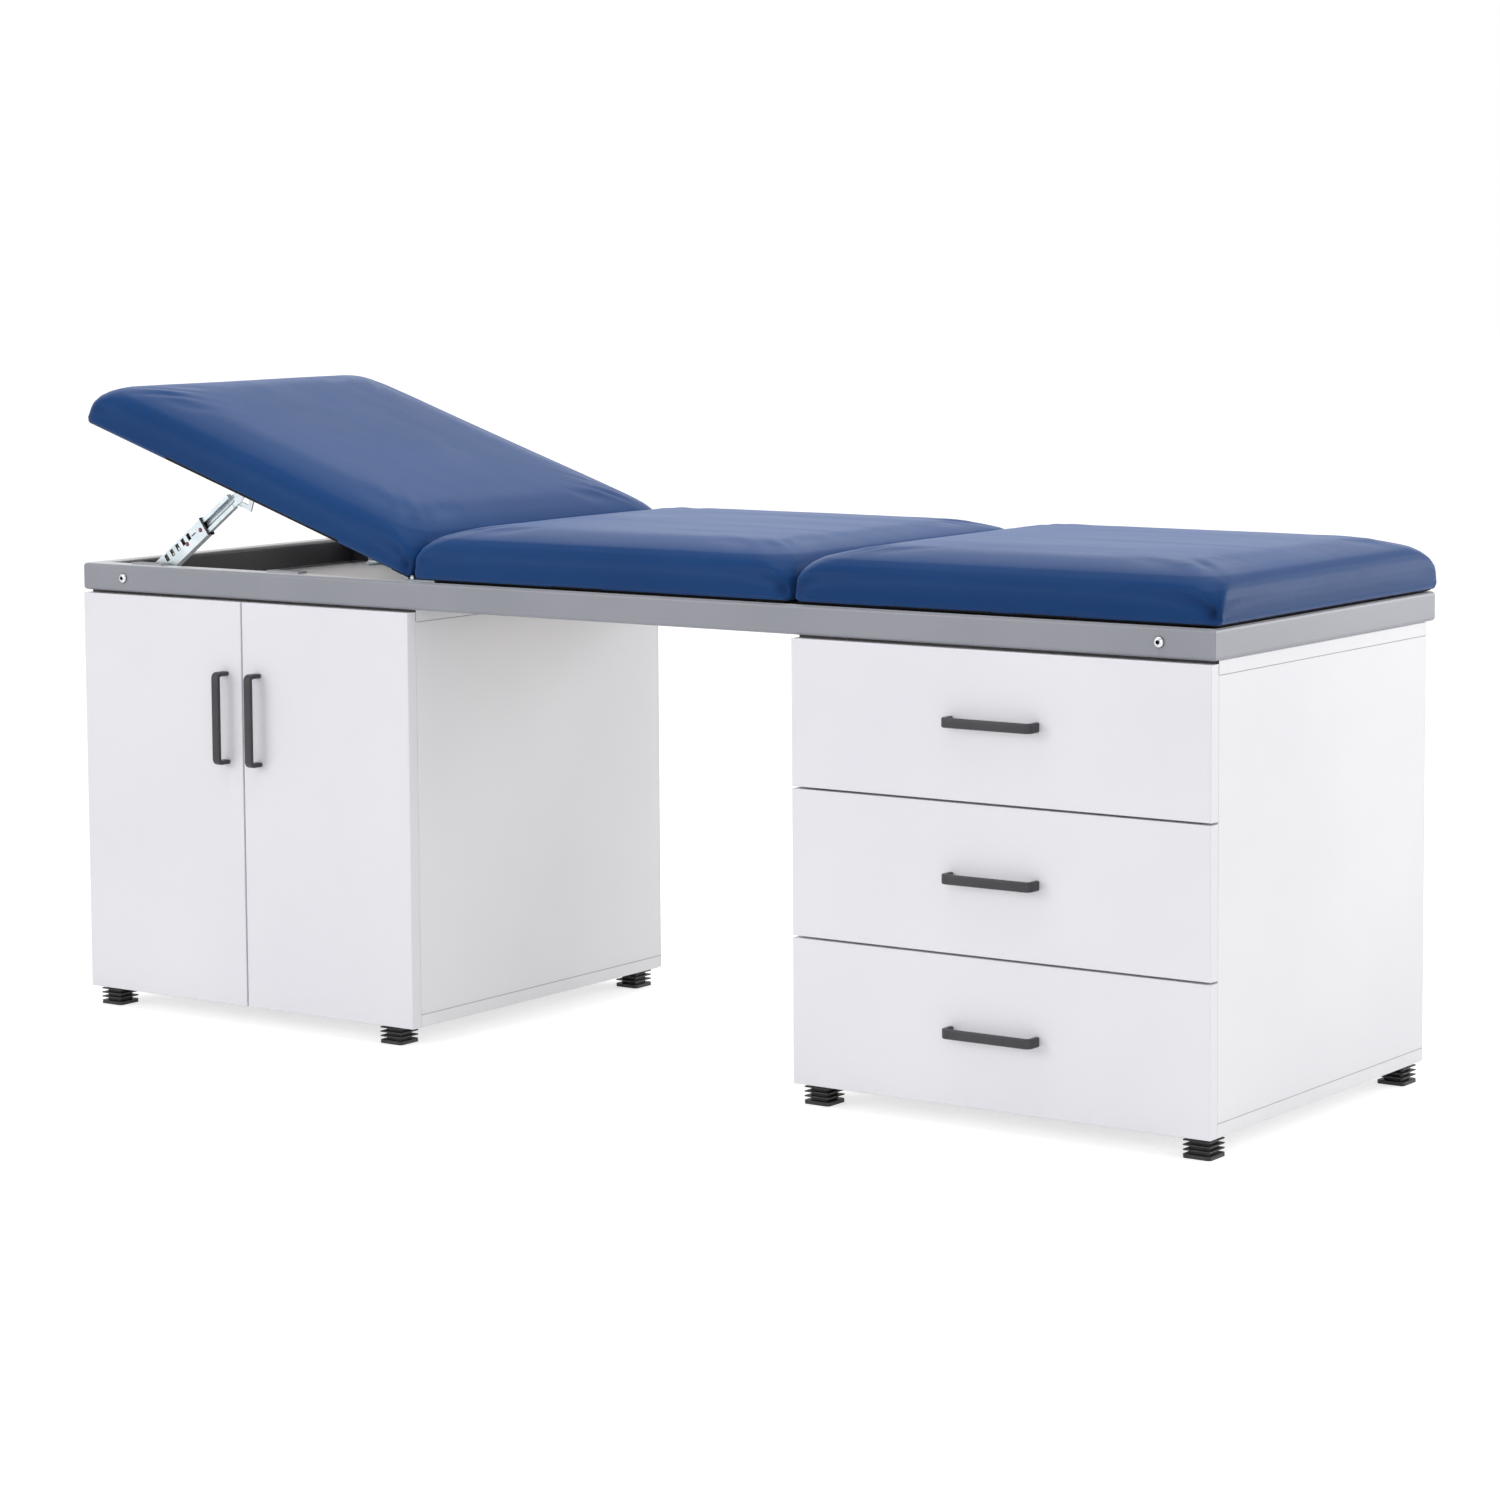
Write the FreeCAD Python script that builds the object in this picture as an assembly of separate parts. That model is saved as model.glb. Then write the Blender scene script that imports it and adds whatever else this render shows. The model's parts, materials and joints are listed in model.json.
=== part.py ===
# Spa bed on two cabinets. A steel tube frame carries three cushions, the head one
# lifting on two ratchet struts. Under it stand a cabinet with two doors and a
# cabinet with three drawers, with open knee space between them.
# Millimetres. +X runs to the foot end, the front faces -Y, +Z is up, the floor is Z = 0.
import FreeCAD, Part
import math
import os

V = FreeCAD.Vector

# Driving sizes, given from the middle of the tube frame
frame_length = 1900.0
frame_width = 600.0
carcass_height = 592.0
cabinet_width = 622.0
foot_height = 30.0
board = 18.0
head_angle = 18.3
cut_overrun = 5.0

# Tube frame
tube_height = 40.0
tube_width = 30.0
tube_wall = 2.0
tube_radius = 5.0

# Cabinets
cabinet_end_inset = 3.0
carcass_front_inset = 14.0
carcass_back_inset = 18.0
board_edge_ease = 0.5
back_panel = 3.0
back_panel_inset = 1.0
shelf_share = 0.475
shelf_side_clearance = 1.0
shelf_front_inset = 30.0
shelf_pin_radius = 2.5
shelf_pin_length = 9.0
shelf_pin_depth = 8.0
shelf_pin_inset = 60.0

# Doors and drawer fronts
front_gap = 1.0
front_top_gap = 4.0
between_gap = 3.0
front_edge_ease = 0.8

# Bar handles
handle_centres = 128.0
handle_reach = 25.0
handle_thickness = 6.5
handle_width = 13.0
handle_bend = 9.0
handle_bend_flats = 4
handle_edge_ease = 1.8
door_handle_inset = 29.5
door_handle_drop = 168.0

# Concealed door hinges
cup_radius = 17.5
cup_depth = 11.0
cup_wall = 1.2
cup_edge_distance = 22.5
cup_flange_length = 52.0
cup_flange_width = 12.0
cup_flange_thickness = 1.5
cup_pocket_clearance = 0.2
cup_link_height = 11.0
cup_link_thickness = 3.0
hinge_end_distance = 100.0
hinge_plate_length = 52.0
hinge_plate_height = 32.0
hinge_plate_thickness = 3.0
hinge_plate_setback = 25.0
hinge_arm_width = 12.0
hinge_arm_height = 9.0
hinge_arm_gap = 0.4
hinge_arm_length = 66.0

# Drawer boxes
drawer_names = ("bottom", "middle", "top")
drawer_handle_rises = (0.0, 2.0, 5.0)
drawer_back_clearance = 66.0
drawer_box_height = 130.0
drawer_box_rise = 28.0
drawer_board = 12.0
drawer_bottom = 3.0
drawer_bottom_rise = 10.0
drawer_groove = 5.0
groove_clearance = 0.2
runner_space = 12.7

# Roller runners
runner_sheet = 1.2
runner_channel_height = 28.0
runner_channel_lip = 9.0
runner_front_inset = 4.0
runner_back_inset = 1.0
runner_play = 0.4
runner_flange = 17.0
runner_foot = 11.0
runner_web_gap = 2.5
roller_radius = 5.0
roller_width = 6.0
roller_setback = 14.0

# Feet, square ribbed glides with a flat base
foot_base = 40.0
foot_base_thickness = 5.0
foot_corner_cut = 3.0
foot_core = 25.0
foot_fin = 38.0
foot_fin_thickness = 1.8
foot_fin_pitch = 6.2
foot_fins = 3
foot_front_inset = 20.0
foot_back_inset = 18.0
left_foot_outer_inset = 20.0
left_foot_inner_front_inset = 58.0
left_foot_inner_back_inset = 40.0
right_foot_inner_inset = 23.0
right_foot_outer_inset = 30.0

# Frame bolts and the angle brackets that hold the frame on the cabinets
bolt_end_distance = 79.0
bolt_radius = 4.0
bolt_hole_radius = 4.2
bolt_head_radius = 7.5
bolt_head_height = 4.0
bolt_crown_radius = 4.4
socket_across = 5.0
socket_depth = 2.4
nut_across = 13.0
nut_height = 6.5
bracket_width = 28.0
bracket_leg = 34.0
bracket_sheet = 3.0
bracket_bend = 5.0

# Cushions and their plywood boards
cushion_gap = 3.0
cushion_height = 80.0
cushion_side_overhang = 3.0
cushion_foot_overhang = 5.0
cushion_head_overhang = 16.0
cushion_joint_inset = 3.0
cushion_joint_gap = 5.0
cushion_foot_edge = 8.0
cushion_edge_depth = 100.0
cushion_crown = 3.0
cushion_corner_radius = 14.0
cushion_corner_growth_share = 0.5
cushion_corner_limit_share = 0.45
cushion_corner_flats = 4
cushion_draw_share = 0.005
cushion_lower_turns = (-90, -45)
cushion_upper_turns = (0, 18, 36, 54, 72, 90)
cushion_crown_share_pairs = ((0.45, 0.12), (0.8, 0.32), (1.0, 0.62))
ply = 12.0
ply_inset = 4.0
ply_clearance = 0.3
cover_sheet = 1.0
cover_margin = 34.0
pad_thickness = 2.7
pad_length = 60.0
pad_width = 18.0
pad_head_outer_inset = 130.0
pad_head_inner_inset = 245.5
pad_middle_inset = 110.5
pad_foot_inner_inset = 93.5
pad_foot_outer_inset = 100.0

# Butt hinges of the head section
hinge_axis_rise = 5.0
hinge_length = 50.0
hinge_end_inset = 3.0
hinge_leaf = 2.7
hinge_leaf_width = 34.0
hinge_leaf_setback = 6.2
hinge_barrel_radius = 3.5
hinge_pin_radius = 1.8
hinge_pin_play = 0.05
hinge_knuckle_gap = 0.4

# Ratchet struts
strut_inset = 10.0
strut_foot_setback = 105.0
strut_foot_rise = 20.0
strut_top_setback = 271.3
strut_drop = 15.0
channel_width = 27.0
channel_depth = 12.0
channel_sheet = 1.5
channel_lip = 4.0
channel_length = 133.0
collar_length = 4.0
collar_sheet = 1.0
ratchet_slots = 5
ratchet_pitch = 13.6
ratchet_start = 42.4
ratchet_offset = 5.5
ratchet_slot_width = 4.4
ratchet_slot_length = 8.9
ratchet_slot_clip = 1.3
release_slit_start = 102.0
release_slit_length = 10.0
release_slit_width = 1.8
release_slit_clip = 0.5
release_slit_offset = 2.5
strut_play = 0.3
slide_sheet = 1.2
slide_lip = 6.0
slide_tail = 134.0
slide_bead_width = 4.0
slide_bead_crest = 1.6
slide_bead_height = 1.6
slide_tongue_radius = 9.0
slide_flange_stop = 13.0
strut_pin_radius = 4.0
strut_pin_play = 0.08
strut_pin_head_across = 13.0
strut_pin_head = 2.0
top_pin_radius = 3.0
top_pin_head_across = 10.0
top_pin_head = 1.5
lug_sheet = 2.5
lug_gap = 0.5
lug_margin = 7.5
lug_slot_play = 0.7
lug_slot_clip = 1.0
lug_travel_steps = 24
lug_plate_width = 30.0
lug_plate_sheet = 2.0

# Places that follow from the sizes
half_length = frame_length / 2
half_width = frame_width / 2
frame_bottom = foot_height + carcass_height
frame_top = frame_bottom + tube_height
cushion_bottom = frame_top + cushion_gap
carcass_front = carcass_front_inset - half_width
carcass_back = half_width - carcass_back_inset
front_back_face = carcass_front - front_gap
front_face = front_back_face - board
front_bottom = foot_height
front_height = carcass_height - front_top_gap
outer_end = half_length - cabinet_end_inset
inner_end = outer_end - cabinet_width
panel_front = carcass_front
panel_back = carcass_back - back_panel
bolt_z = frame_bottom + tube_height / 2
drawer_box_depth = panel_back - front_back_face - drawer_back_clearance
runner_length = drawer_box_depth - runner_front_inset - runner_back_inset
cushion_joint = inner_end - cushion_joint_inset
strut_foot_x = strut_foot_setback - half_length
strut_top_x = strut_top_setback - half_length
hinge_x = -cushion_joint
hinge_z = frame_top + hinge_axis_rise
front_limit = front_face - handle_reach
back_limit = half_width + cushion_side_overhang
origin_shift = V(-cushion_foot_overhang / 2, -(front_limit + back_limit) / 2, 0)

saved = {}


def save(name, shapes):
    """Write one sub-part, with its solids as separate solids of one file."""
    solids = []
    for shape in shapes:
        solids.extend(shape.Solids)
    body = solids[0] if len(solids) == 1 else Part.makeCompound(solids)
    body.translate(origin_shift)
    body.exportStep("parts/" + name + ".step")
    saved[name] = solids


def block(x0, x1, y0, y1, z0, z1):
    """A box between two corners."""
    return Part.makeBox(x1 - x0, y1 - y0, z1 - z0, V(x0, y0, z0))


def rod(start, direction, radius, length):
    """A round bar."""
    return Part.makeCylinder(radius, length, start, direction)


def flat_face(points):
    """One flat face inside a closed outline."""
    return Part.Face(Part.makePolygon(list(points) + [points[0]]))


def prism(points, direction):
    """A flat outline pushed along a direction."""
    return flat_face(points).extrude(direction)


def faceted(rings):
    """A closed body of flat faces between level rings that have the same number of points."""
    faces = [flat_face(rings[0]), flat_face(rings[-1])]
    for low, high in zip(rings, rings[1:]):
        for index in range(len(low)):
            faces.append(flat_face((low[index - 1], low[index], high[index], high[index - 1])))
    return Part.makeSolid(Part.makeShell(faces))


def rounded_wire(x0, x1, y0, y1, z, radius):
    """A level rectangle with round corners: four lines and four arcs."""
    slant = radius * (1 - math.sqrt(0.5))
    corners = (
        (V(x1 - radius, y0, z), V(x1 - slant, y0 + slant, z), V(x1, y0 + radius, z)),
        (V(x1, y1 - radius, z), V(x1 - slant, y1 - slant, z), V(x1 - radius, y1, z)),
        (V(x0 + radius, y1, z), V(x0 + slant, y1 - slant, z), V(x0, y1 - radius, z)),
        (V(x0, y0 + radius, z), V(x0 + slant, y0 + slant, z), V(x0 + radius, y0, z)),
    )
    edges = []
    for index, (start, middle, end) in enumerate(corners):
        before = corners[index - 1][2]
        edges.append(Part.LineSegment(before, start).toShape())
        edges.append(Part.Arc(start, middle, end).toShape())
    return Part.Wire(edges)


def rounded_block(x0, x1, y0, y1, z0, z1, radius):
    """A box with its four upright edges rounded."""
    wire = rounded_wire(x0, x1, y0, y1, z0, radius)
    return Part.Face(wire).extrude(V(0, 0, z1 - z0))


def clipped_block(x0, x1, y0, y1, z0, z1, clip):
    """A box with its four upright edges cut off at 45 degrees."""
    points = (
        V(x0 + clip, y0, z0), V(x1 - clip, y0, z0), V(x1, y0 + clip, z0), V(x1, y1 - clip, z0),
        V(x1 - clip, y1, z0), V(x0 + clip, y1, z0), V(x0, y1 - clip, z0), V(x0, y0 + clip, z0),
    )
    return prism(points, V(0, 0, z1 - z0))


def eased_board(x0, x1, y0, y1, z0, z1):
    """A board with every edge broken, so its joints with the next boards show."""
    panel = block(x0, x1, y0, y1, z0, z1)
    return panel.makeChamfer(board_edge_ease, panel.Edges)


def hexagon(x, y, z, across):
    """The six corners of a nut or a socket in the XZ plane."""
    corner = across / math.sqrt(3)
    ring = []
    for step in range(6):
        turn = math.radians(60 * step)
        ring.append(V(x + corner * math.cos(turn), y, z + corner * math.sin(turn)))
    return ring


def mirrored(shape):
    """The same piece on the other long side of the bed."""
    return shape.mirror(V(0, 0, 0), V(0, 1, 0))


def fused(shapes):
    """Several shapes grown into one solid."""
    whole = shapes[0]
    if len(shapes) > 1:
        whole = whole.multiFuse(shapes[1:])
    return whole.removeSplitter()


# Tube frame with mitred corners


def tube(length):
    """A rectangular tube along X, its section centred on the X axis."""
    outer = rounded_block(
        -tube_width / 2, tube_width / 2, -tube_height / 2, tube_height / 2, 0, length, tube_radius
    )
    wide = tube_width / 2 - tube_wall
    high = tube_height / 2 - tube_wall
    inner = block(-wide, wide, -high, high, -cut_overrun, length + cut_overrun)
    hollow = outer.cut(inner)
    hollow.rotate(V(0, 0, 0), V(1, 0, 0), 90)
    hollow.rotate(V(0, 0, 0), V(0, 0, 1), 90)
    hollow.translate(V(-length / 2, 0, 0))
    return hollow


def mitred_tube(length):
    """A tube whose ends are cut at 45 degrees, longest on the -Y side."""
    near = -tube_width / 2
    far = tube_width / 2
    plan = (
        V(-length / 2, near, -tube_height),
        V(length / 2, near, -tube_height),
        V(length / 2 - tube_width, far, -tube_height),
        V(-length / 2 + tube_width, far, -tube_height),
    )
    return tube(length).common(prism(plan, V(0, 0, 2 * tube_height)))


def long_rail():
    """The front rail, drilled for the two frame bolts."""
    rail = mitred_tube(frame_length)
    rail.translate(V(0, tube_width / 2 - half_width, frame_bottom + tube_height / 2))
    for x in bolt_places():
        start = V(x, -half_width - cut_overrun, bolt_z)
        drill = rod(start, V(0, 1, 0), bolt_hole_radius, tube_width + 2 * cut_overrun)
        rail = rail.cut(drill)
    return rail


def bolt_places():
    """Where the frame bolts stand along the bed."""
    return (bolt_end_distance - half_length, half_length - bolt_end_distance)


def make_frame():
    front = long_rail()
    save("front_rail", [front])
    save("back_rail", [mirrored(long_rail())])
    for name, side in (("head_rail", -1), ("foot_rail", 1)):
        rail = mitred_tube(frame_width)
        rail.rotate(V(0, 0, 0), V(0, 0, 1), 90 * side)
        rail.translate(V(side * (half_length - tube_width / 2), 0, bolt_z))
        save(name, [rail])
    crosses = []
    for side in (-1, 1):
        cross = tube(frame_width - 2 * tube_width)
        cross.rotate(V(0, 0, 0), V(0, 0, 1), 90)
        cross.translate(V(side * (inner_end - tube_width / 2), 0, bolt_z))
        crosses.append(cross)
    save("cross_rails", crosses)


def frame_bolt(x):
    """A button-head bolt with a hexagon socket, its nut on the bracket behind the rail."""
    face = -half_width
    shank = rod(V(x, face, bolt_z), V(0, 1, 0), bolt_radius,
                tube_width + bracket_sheet + nut_height)
    head = Part.makeCone(bolt_head_radius, bolt_crown_radius, bolt_head_height,
                         V(x, face, bolt_z), V(0, -1, 0))
    nut_start = tube_width - half_width + bracket_sheet
    nut = prism(hexagon(x, nut_start, bolt_z, nut_across), V(0, nut_height, 0))
    socket = prism(hexagon(x, face - bolt_head_height - cut_overrun, bolt_z, socket_across),
                   V(0, cut_overrun + socket_depth, 0))
    return fused([shank, head, nut]).cut(socket)


def frame_bracket(x):
    """A bent angle between the rail's inner face and the cabinet's top board."""
    inner_face = tube_width - half_width
    half = bracket_width / 2
    upright = block(x - half, x + half, inner_face, inner_face + bracket_sheet,
                    frame_bottom, frame_bottom + bracket_leg)
    flat = block(x - half, x + half, inner_face, inner_face + bracket_leg,
                 frame_bottom, frame_bottom + bracket_sheet)
    bracket = upright.fuse(flat).removeSplitter()
    bend_edges = []
    for edge in bracket.Edges:
        middle = edge.CenterOfMass
        off_y = abs(middle.y - inner_face - bracket_sheet)
        off_z = abs(middle.z - frame_bottom - bracket_sheet)
        if max(off_y, off_z) < bracket_sheet / 2:
            bend_edges.append(edge)
    bracket = bracket.makeChamfer(bracket_bend - bracket_sheet, bend_edges)
    return bracket.cut(rod(V(x, inner_face - cut_overrun, bolt_z), V(0, 1, 0),
                           bolt_hole_radius, bracket_leg))


def make_frame_fixings():
    bolts = [frame_bolt(x) for x in bolt_places()]
    brackets = [frame_bracket(x) for x in bolt_places()]
    save("frame_bolts", bolts + [mirrored(bolt) for bolt in bolts])
    save("frame_brackets", brackets + [mirrored(bracket) for bracket in brackets])


# Cabinets


def cabinet_span(side):
    """The cabinet's low and high X, for the head side or the foot side."""
    low, high = sorted((side * outer_end, side * inner_end))
    return low, high


def make_carcass(prefix, side):
    """Top and bottom boards run the full width, with the sides between them."""
    low, high = cabinet_span(side)
    top = frame_bottom
    save(prefix + "_top_board",
         [eased_board(low, high, panel_front, panel_back, top - board, top)])
    save(prefix + "_bottom_board",
         [eased_board(low, high, panel_front, panel_back, foot_height, foot_height + board)])
    outer_low = low if side < 0 else high - board
    inner_low = high - board if side < 0 else low
    for name, x in (("_outer_side", outer_low), ("_inner_side", inner_low)):
        panel = eased_board(x, x + board, panel_front, panel_back,
                            foot_height + board, top - board)
        if side < 0:
            for pin_x, pin_y in shelf_pin_places():
                panel = panel.cut(shelf_pin(pin_x, pin_y))
        save(prefix + name, [panel])
    save(prefix + "_back_panel", [block(
        low + back_panel_inset, high - back_panel_inset, panel_back, carcass_back,
        foot_height + back_panel_inset, top - back_panel_inset,
    )])


def shelf_level():
    """Height of the shelf's underside."""
    return foot_height + carcass_height * shelf_share


def shelf_pin_places():
    """Each pin's side wall and distance from the front."""
    low, high = cabinet_span(-1)
    walls = (low + board, high - board)
    depths = (panel_front + shelf_front_inset + shelf_pin_inset, panel_back - shelf_pin_inset)
    return [(x, y) for x in walls for y in depths]


def shelf_pin(x, y):
    """A pin that stands in a side panel and reaches under the shelf."""
    low, high = cabinet_span(-1)
    inward = 1 if x < (low + high) / 2 else -1
    start = V(x - inward * shelf_pin_depth, y, shelf_level() - shelf_pin_radius)
    return rod(start, V(inward, 0, 0), shelf_pin_radius, shelf_pin_depth + shelf_pin_length)


def make_shelf():
    low, high = cabinet_span(-1)
    save("left_shelf", [eased_board(
        low + board + shelf_side_clearance, high - board - shelf_side_clearance,
        panel_front + shelf_front_inset, panel_back,
        shelf_level(), shelf_level() + board,
    )])
    save("shelf_pins", [shelf_pin(x, y) for x, y in shelf_pin_places()])


# Handles


def handle(x, z, upright):
    """A flat bar bent into a bow, with its long edges broken."""
    reach = handle_reach
    half = handle_centres / 2 + handle_thickness / 2
    inner = half - handle_thickness
    bow = rounded_bow(half, reach, handle_bend)
    hollow = block(-inner, inner, handle_thickness - reach, cut_overrun,
                   -handle_width, handle_width)
    bar = bow.cut(hollow)
    long_edges = []
    for edge in bar.Edges:
        box = edge.BoundBox
        along_outline = box.ZLength < handle_width / 2
        on_wall = box.YMin > -handle_thickness / 2
        if along_outline and not on_wall:
            long_edges.append(edge)
    bar = bar.makeChamfer(handle_edge_ease, long_edges)
    if upright:
        bar.rotate(V(0, 0, 0), V(0, 1, 0), 90)
    bar.translate(V(x, front_face, z))
    return bar


def rounded_bow(half, reach, bend):
    """A block that stands out from the front face, its two outer corners rounded in short flats."""
    z = -handle_width / 2
    points = [V(half, 0, z)]
    for centre_x, first_turn in ((half - bend, 0), (bend - half, 90)):
        for step in range(handle_bend_flats + 1):
            turn = math.radians(first_turn + 90 * step / handle_bend_flats)
            points.append(V(centre_x + bend * math.cos(turn),
                            bend * (1 - math.sin(turn)) - reach, z))
    points.append(V(-half, 0, z))
    return prism(points, V(0, 0, handle_width))


# Doors on concealed hinges


def front_panel(low, high, bottom, top):
    """A door or drawer front with its four face edges eased."""
    panel = block(low, high, front_face, front_back_face, bottom, top)
    face_edges = [edge for edge in panel.Edges if edge.BoundBox.YMax < front_face + board / 2]
    return panel.makeChamfer(front_edge_ease, face_edges)


def hinge_heights():
    """Middle height of the two hinges of each door."""
    return (front_bottom + hinge_end_distance, front_bottom + front_height - hinge_end_distance)


def cup_pocket(x, z):
    """The blind hole in the door's back that the hinge cup sits in."""
    radius = cup_radius + cup_pocket_clearance
    start = V(x, front_back_face + cut_overrun, z)
    return rod(start, V(0, -1, 0), radius, cup_depth + cup_pocket_clearance + cut_overrun)


def hinge_cup(x, z):
    """A cast cup with its screw flange, a square well and the folded link across its mouth."""
    cup = rod(V(x, front_back_face, z), V(0, -1, 0), cup_radius, cup_depth)
    flange = block(
        x - cup_flange_width / 2, x + cup_flange_width / 2,
        front_back_face - cup_flange_thickness, front_back_face,
        z - cup_flange_length / 2, z + cup_flange_length / 2,
    )
    half_well = (cup_radius - cup_wall) * math.sqrt(0.5)
    well = block(
        x - half_well, x + half_well,
        front_back_face - cup_depth + cup_wall, front_back_face + cut_overrun,
        z - half_well, z + half_well,
    )
    link = block(
        x - half_well, x + half_well,
        front_back_face - cup_link_thickness, front_back_face,
        z - cup_link_height / 2, z + cup_link_height / 2,
    )
    return fused([cup.fuse(flange).cut(well), link])


def flange_recess(x, z):
    """The shallow seat for the cup's flange in the door's back."""
    wide = cup_flange_width / 2 + cup_pocket_clearance
    tall = cup_flange_length / 2 + cup_pocket_clearance
    return block(x - wide, x + wide,
                 front_back_face - cup_flange_thickness - cup_pocket_clearance,
                 front_back_face + cut_overrun, z - tall, z + tall)


def hinge_arm(wall_x, inward, z):
    """Mounting plate on the side panel, with the arm that reaches to the cup."""
    plate_low, plate_high = sorted((wall_x, wall_x + inward * hinge_plate_thickness))
    plate_front = carcass_front + hinge_plate_setback
    plate = block(plate_low, plate_high, plate_front, plate_front + hinge_plate_length,
                  z - hinge_plate_height / 2, z + hinge_plate_height / 2)
    arm_near = wall_x + inward * hinge_plate_thickness
    arm_low, arm_high = sorted((arm_near, arm_near + inward * hinge_arm_width))
    arm_front = front_back_face + hinge_arm_gap
    arm = block(arm_low, arm_high, arm_front, arm_front + hinge_arm_length,
                z - hinge_arm_height / 2, z + hinge_arm_height / 2)
    return fused([plate, arm])


def make_doors():
    low, high = cabinet_span(-1)
    middle = (low + high) / 2
    spans = (
        ("left", low, middle - between_gap / 2, low, 1),
        ("right", middle + between_gap / 2, high, high, -1),
    )
    arms = []
    for name, start, end, edge, inward in spans:
        panel = front_panel(start, end, front_bottom, front_bottom + front_height)
        cup_x = edge + inward * cup_edge_distance
        cups = []
        for z in hinge_heights():
            panel = panel.cut(cup_pocket(cup_x, z)).cut(flange_recess(cup_x, z))
            cups.append(hinge_cup(cup_x, z))
            arms.append(hinge_arm(edge + inward * board, inward, z))
        save(name + "_door", [panel])
        save(name + "_door_hinge_cups", cups)
        free_edge = end if inward > 0 else start
        handle_x = free_edge - inward * door_handle_inset
        handle_z = front_bottom + front_height - door_handle_drop
        save(name + "_door_handle", [handle(handle_x, handle_z, True)])
    save("door_hinge_arms", arms)


# Drawers on roller runners


def drawer_rows():
    """Bottom and top of each drawer front, from the bottom drawer up."""
    count = len(drawer_names)
    height = (front_height - (count - 1) * between_gap) / count
    rows = []
    for index in range(count):
        bottom = front_bottom + index * (height + between_gap)
        rows.append((bottom, bottom + height))
    return rows


def drawer_box(low, high, bottom):
    """Two sides, an inner front and a back, grooved for the bottom panel."""
    top = bottom + drawer_box_height
    near = front_back_face
    far = near + drawer_box_depth
    left = block(low, low + drawer_board, near, far, bottom, top)
    right = block(high - drawer_board, high, near, far, bottom, top)
    front = block(low + drawer_board, high - drawer_board, near, near + drawer_board, bottom, top)
    back = block(low + drawer_board, high - drawer_board, far - drawer_board, far, bottom, top)
    groove = bottom_panel(low, high, bottom, groove_clearance)
    return [piece.cut(groove) for piece in (left, right, front, back)]


def bottom_panel(low, high, bottom, extra):
    """The thin panel that closes the box, or the groove around it."""
    inset = drawer_board - drawer_groove - extra
    near = front_back_face
    far = near + drawer_box_depth
    level = bottom + drawer_bottom_rise
    return block(low + inset, high - inset, near + inset, far - inset,
                 level - extra, level + drawer_bottom + extra)


def rear_roller_radius():
    """The rear roller runs between the channel's two lips."""
    return runner_channel_height / 2 - runner_sheet - runner_play


def cabinet_runner(wall_x, inward, level):
    """The fixed channel on the cabinet's side, with its front roller."""
    front = carcass_front + runner_front_inset
    back = front + runner_length

    def strip(near, far, y0, y1, z0, z1):
        low, high = sorted((wall_x + inward * near, wall_x + inward * far))
        return block(low, high, y0, y1, z0, z1)

    top = level + runner_channel_height
    web = strip(0, runner_sheet, front, back, level, top)
    under = strip(0, runner_channel_lip, front, back, level, level + runner_sheet)
    over = strip(0, runner_channel_lip, front + roller_setback + rear_roller_radius(), back,
                 top - runner_sheet, top)
    roller_z = runner_flange_level(level) - roller_radius - runner_play
    wheel = rod(V(wall_x + inward * runner_sheet, front + roller_setback, roller_z),
                V(inward, 0, 0), roller_radius, roller_width)
    return fused([web, under, over, wheel])


def runner_flange_level(level):
    """Underside of the drawer member's flange, which rolls on the front roller."""
    return level + runner_channel_height / 2


def drawer_runner(side_x, outward, box_bottom, level):
    """The moving member under the box side, with its rear roller in the channel."""
    near = front_back_face + runner_front_inset
    far = near + runner_length

    def strip(a, b, y0, y1, z0, z1):
        low, high = sorted((side_x + outward * a, side_x + outward * b))
        return block(low, high, y0, y1, z0, z1)

    flange_z = runner_flange_level(level)
    upright = strip(0, runner_sheet, near, far, box_bottom - runner_sheet,
                    max(box_bottom + runner_flange, flange_z + runner_sheet))
    foot = strip(-runner_foot, runner_sheet, near, far, box_bottom - runner_sheet, box_bottom)
    reach = runner_space - runner_sheet - runner_web_gap
    wing = strip(0, reach, near, far, flange_z, flange_z + runner_sheet)
    roller_y = far - rear_roller_radius()
    roller_z = level + runner_channel_height / 2
    wheel = rod(V(side_x, roller_y, roller_z), V(outward, 0, 0), rear_roller_radius(), reach)
    return fused([upright, foot, wing, wheel])


def make_drawers():
    low, high = cabinet_span(1)
    wall_low = low + board
    wall_high = high - board
    box_low = wall_low + runner_space
    box_high = wall_high - runner_space
    fixed = []
    for (bottom, top), name, rise in zip(drawer_rows(), drawer_names, drawer_handle_rises):
        prefix = name + "_drawer"
        box_bottom = bottom + drawer_box_rise
        level = box_bottom - runner_sheet - runner_play
        save(prefix + "_front", [front_panel(low, high, bottom, top)])
        save(prefix + "_box", drawer_box(box_low, box_high, box_bottom))
        save(prefix + "_base", [bottom_panel(box_low, box_high, box_bottom, 0)])
        save(prefix + "_handle", [handle((low + high) / 2, (bottom + top) / 2 + rise, False)])
        save(prefix + "_runners", [
            drawer_runner(box_low, -1, box_bottom, level),
            drawer_runner(box_high, 1, box_bottom, level),
        ])
        fixed.append(cabinet_runner(wall_low, 1, level))
        fixed.append(cabinet_runner(wall_high, -1, level))
    save("cabinet_runners", fixed)


# Feet


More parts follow.
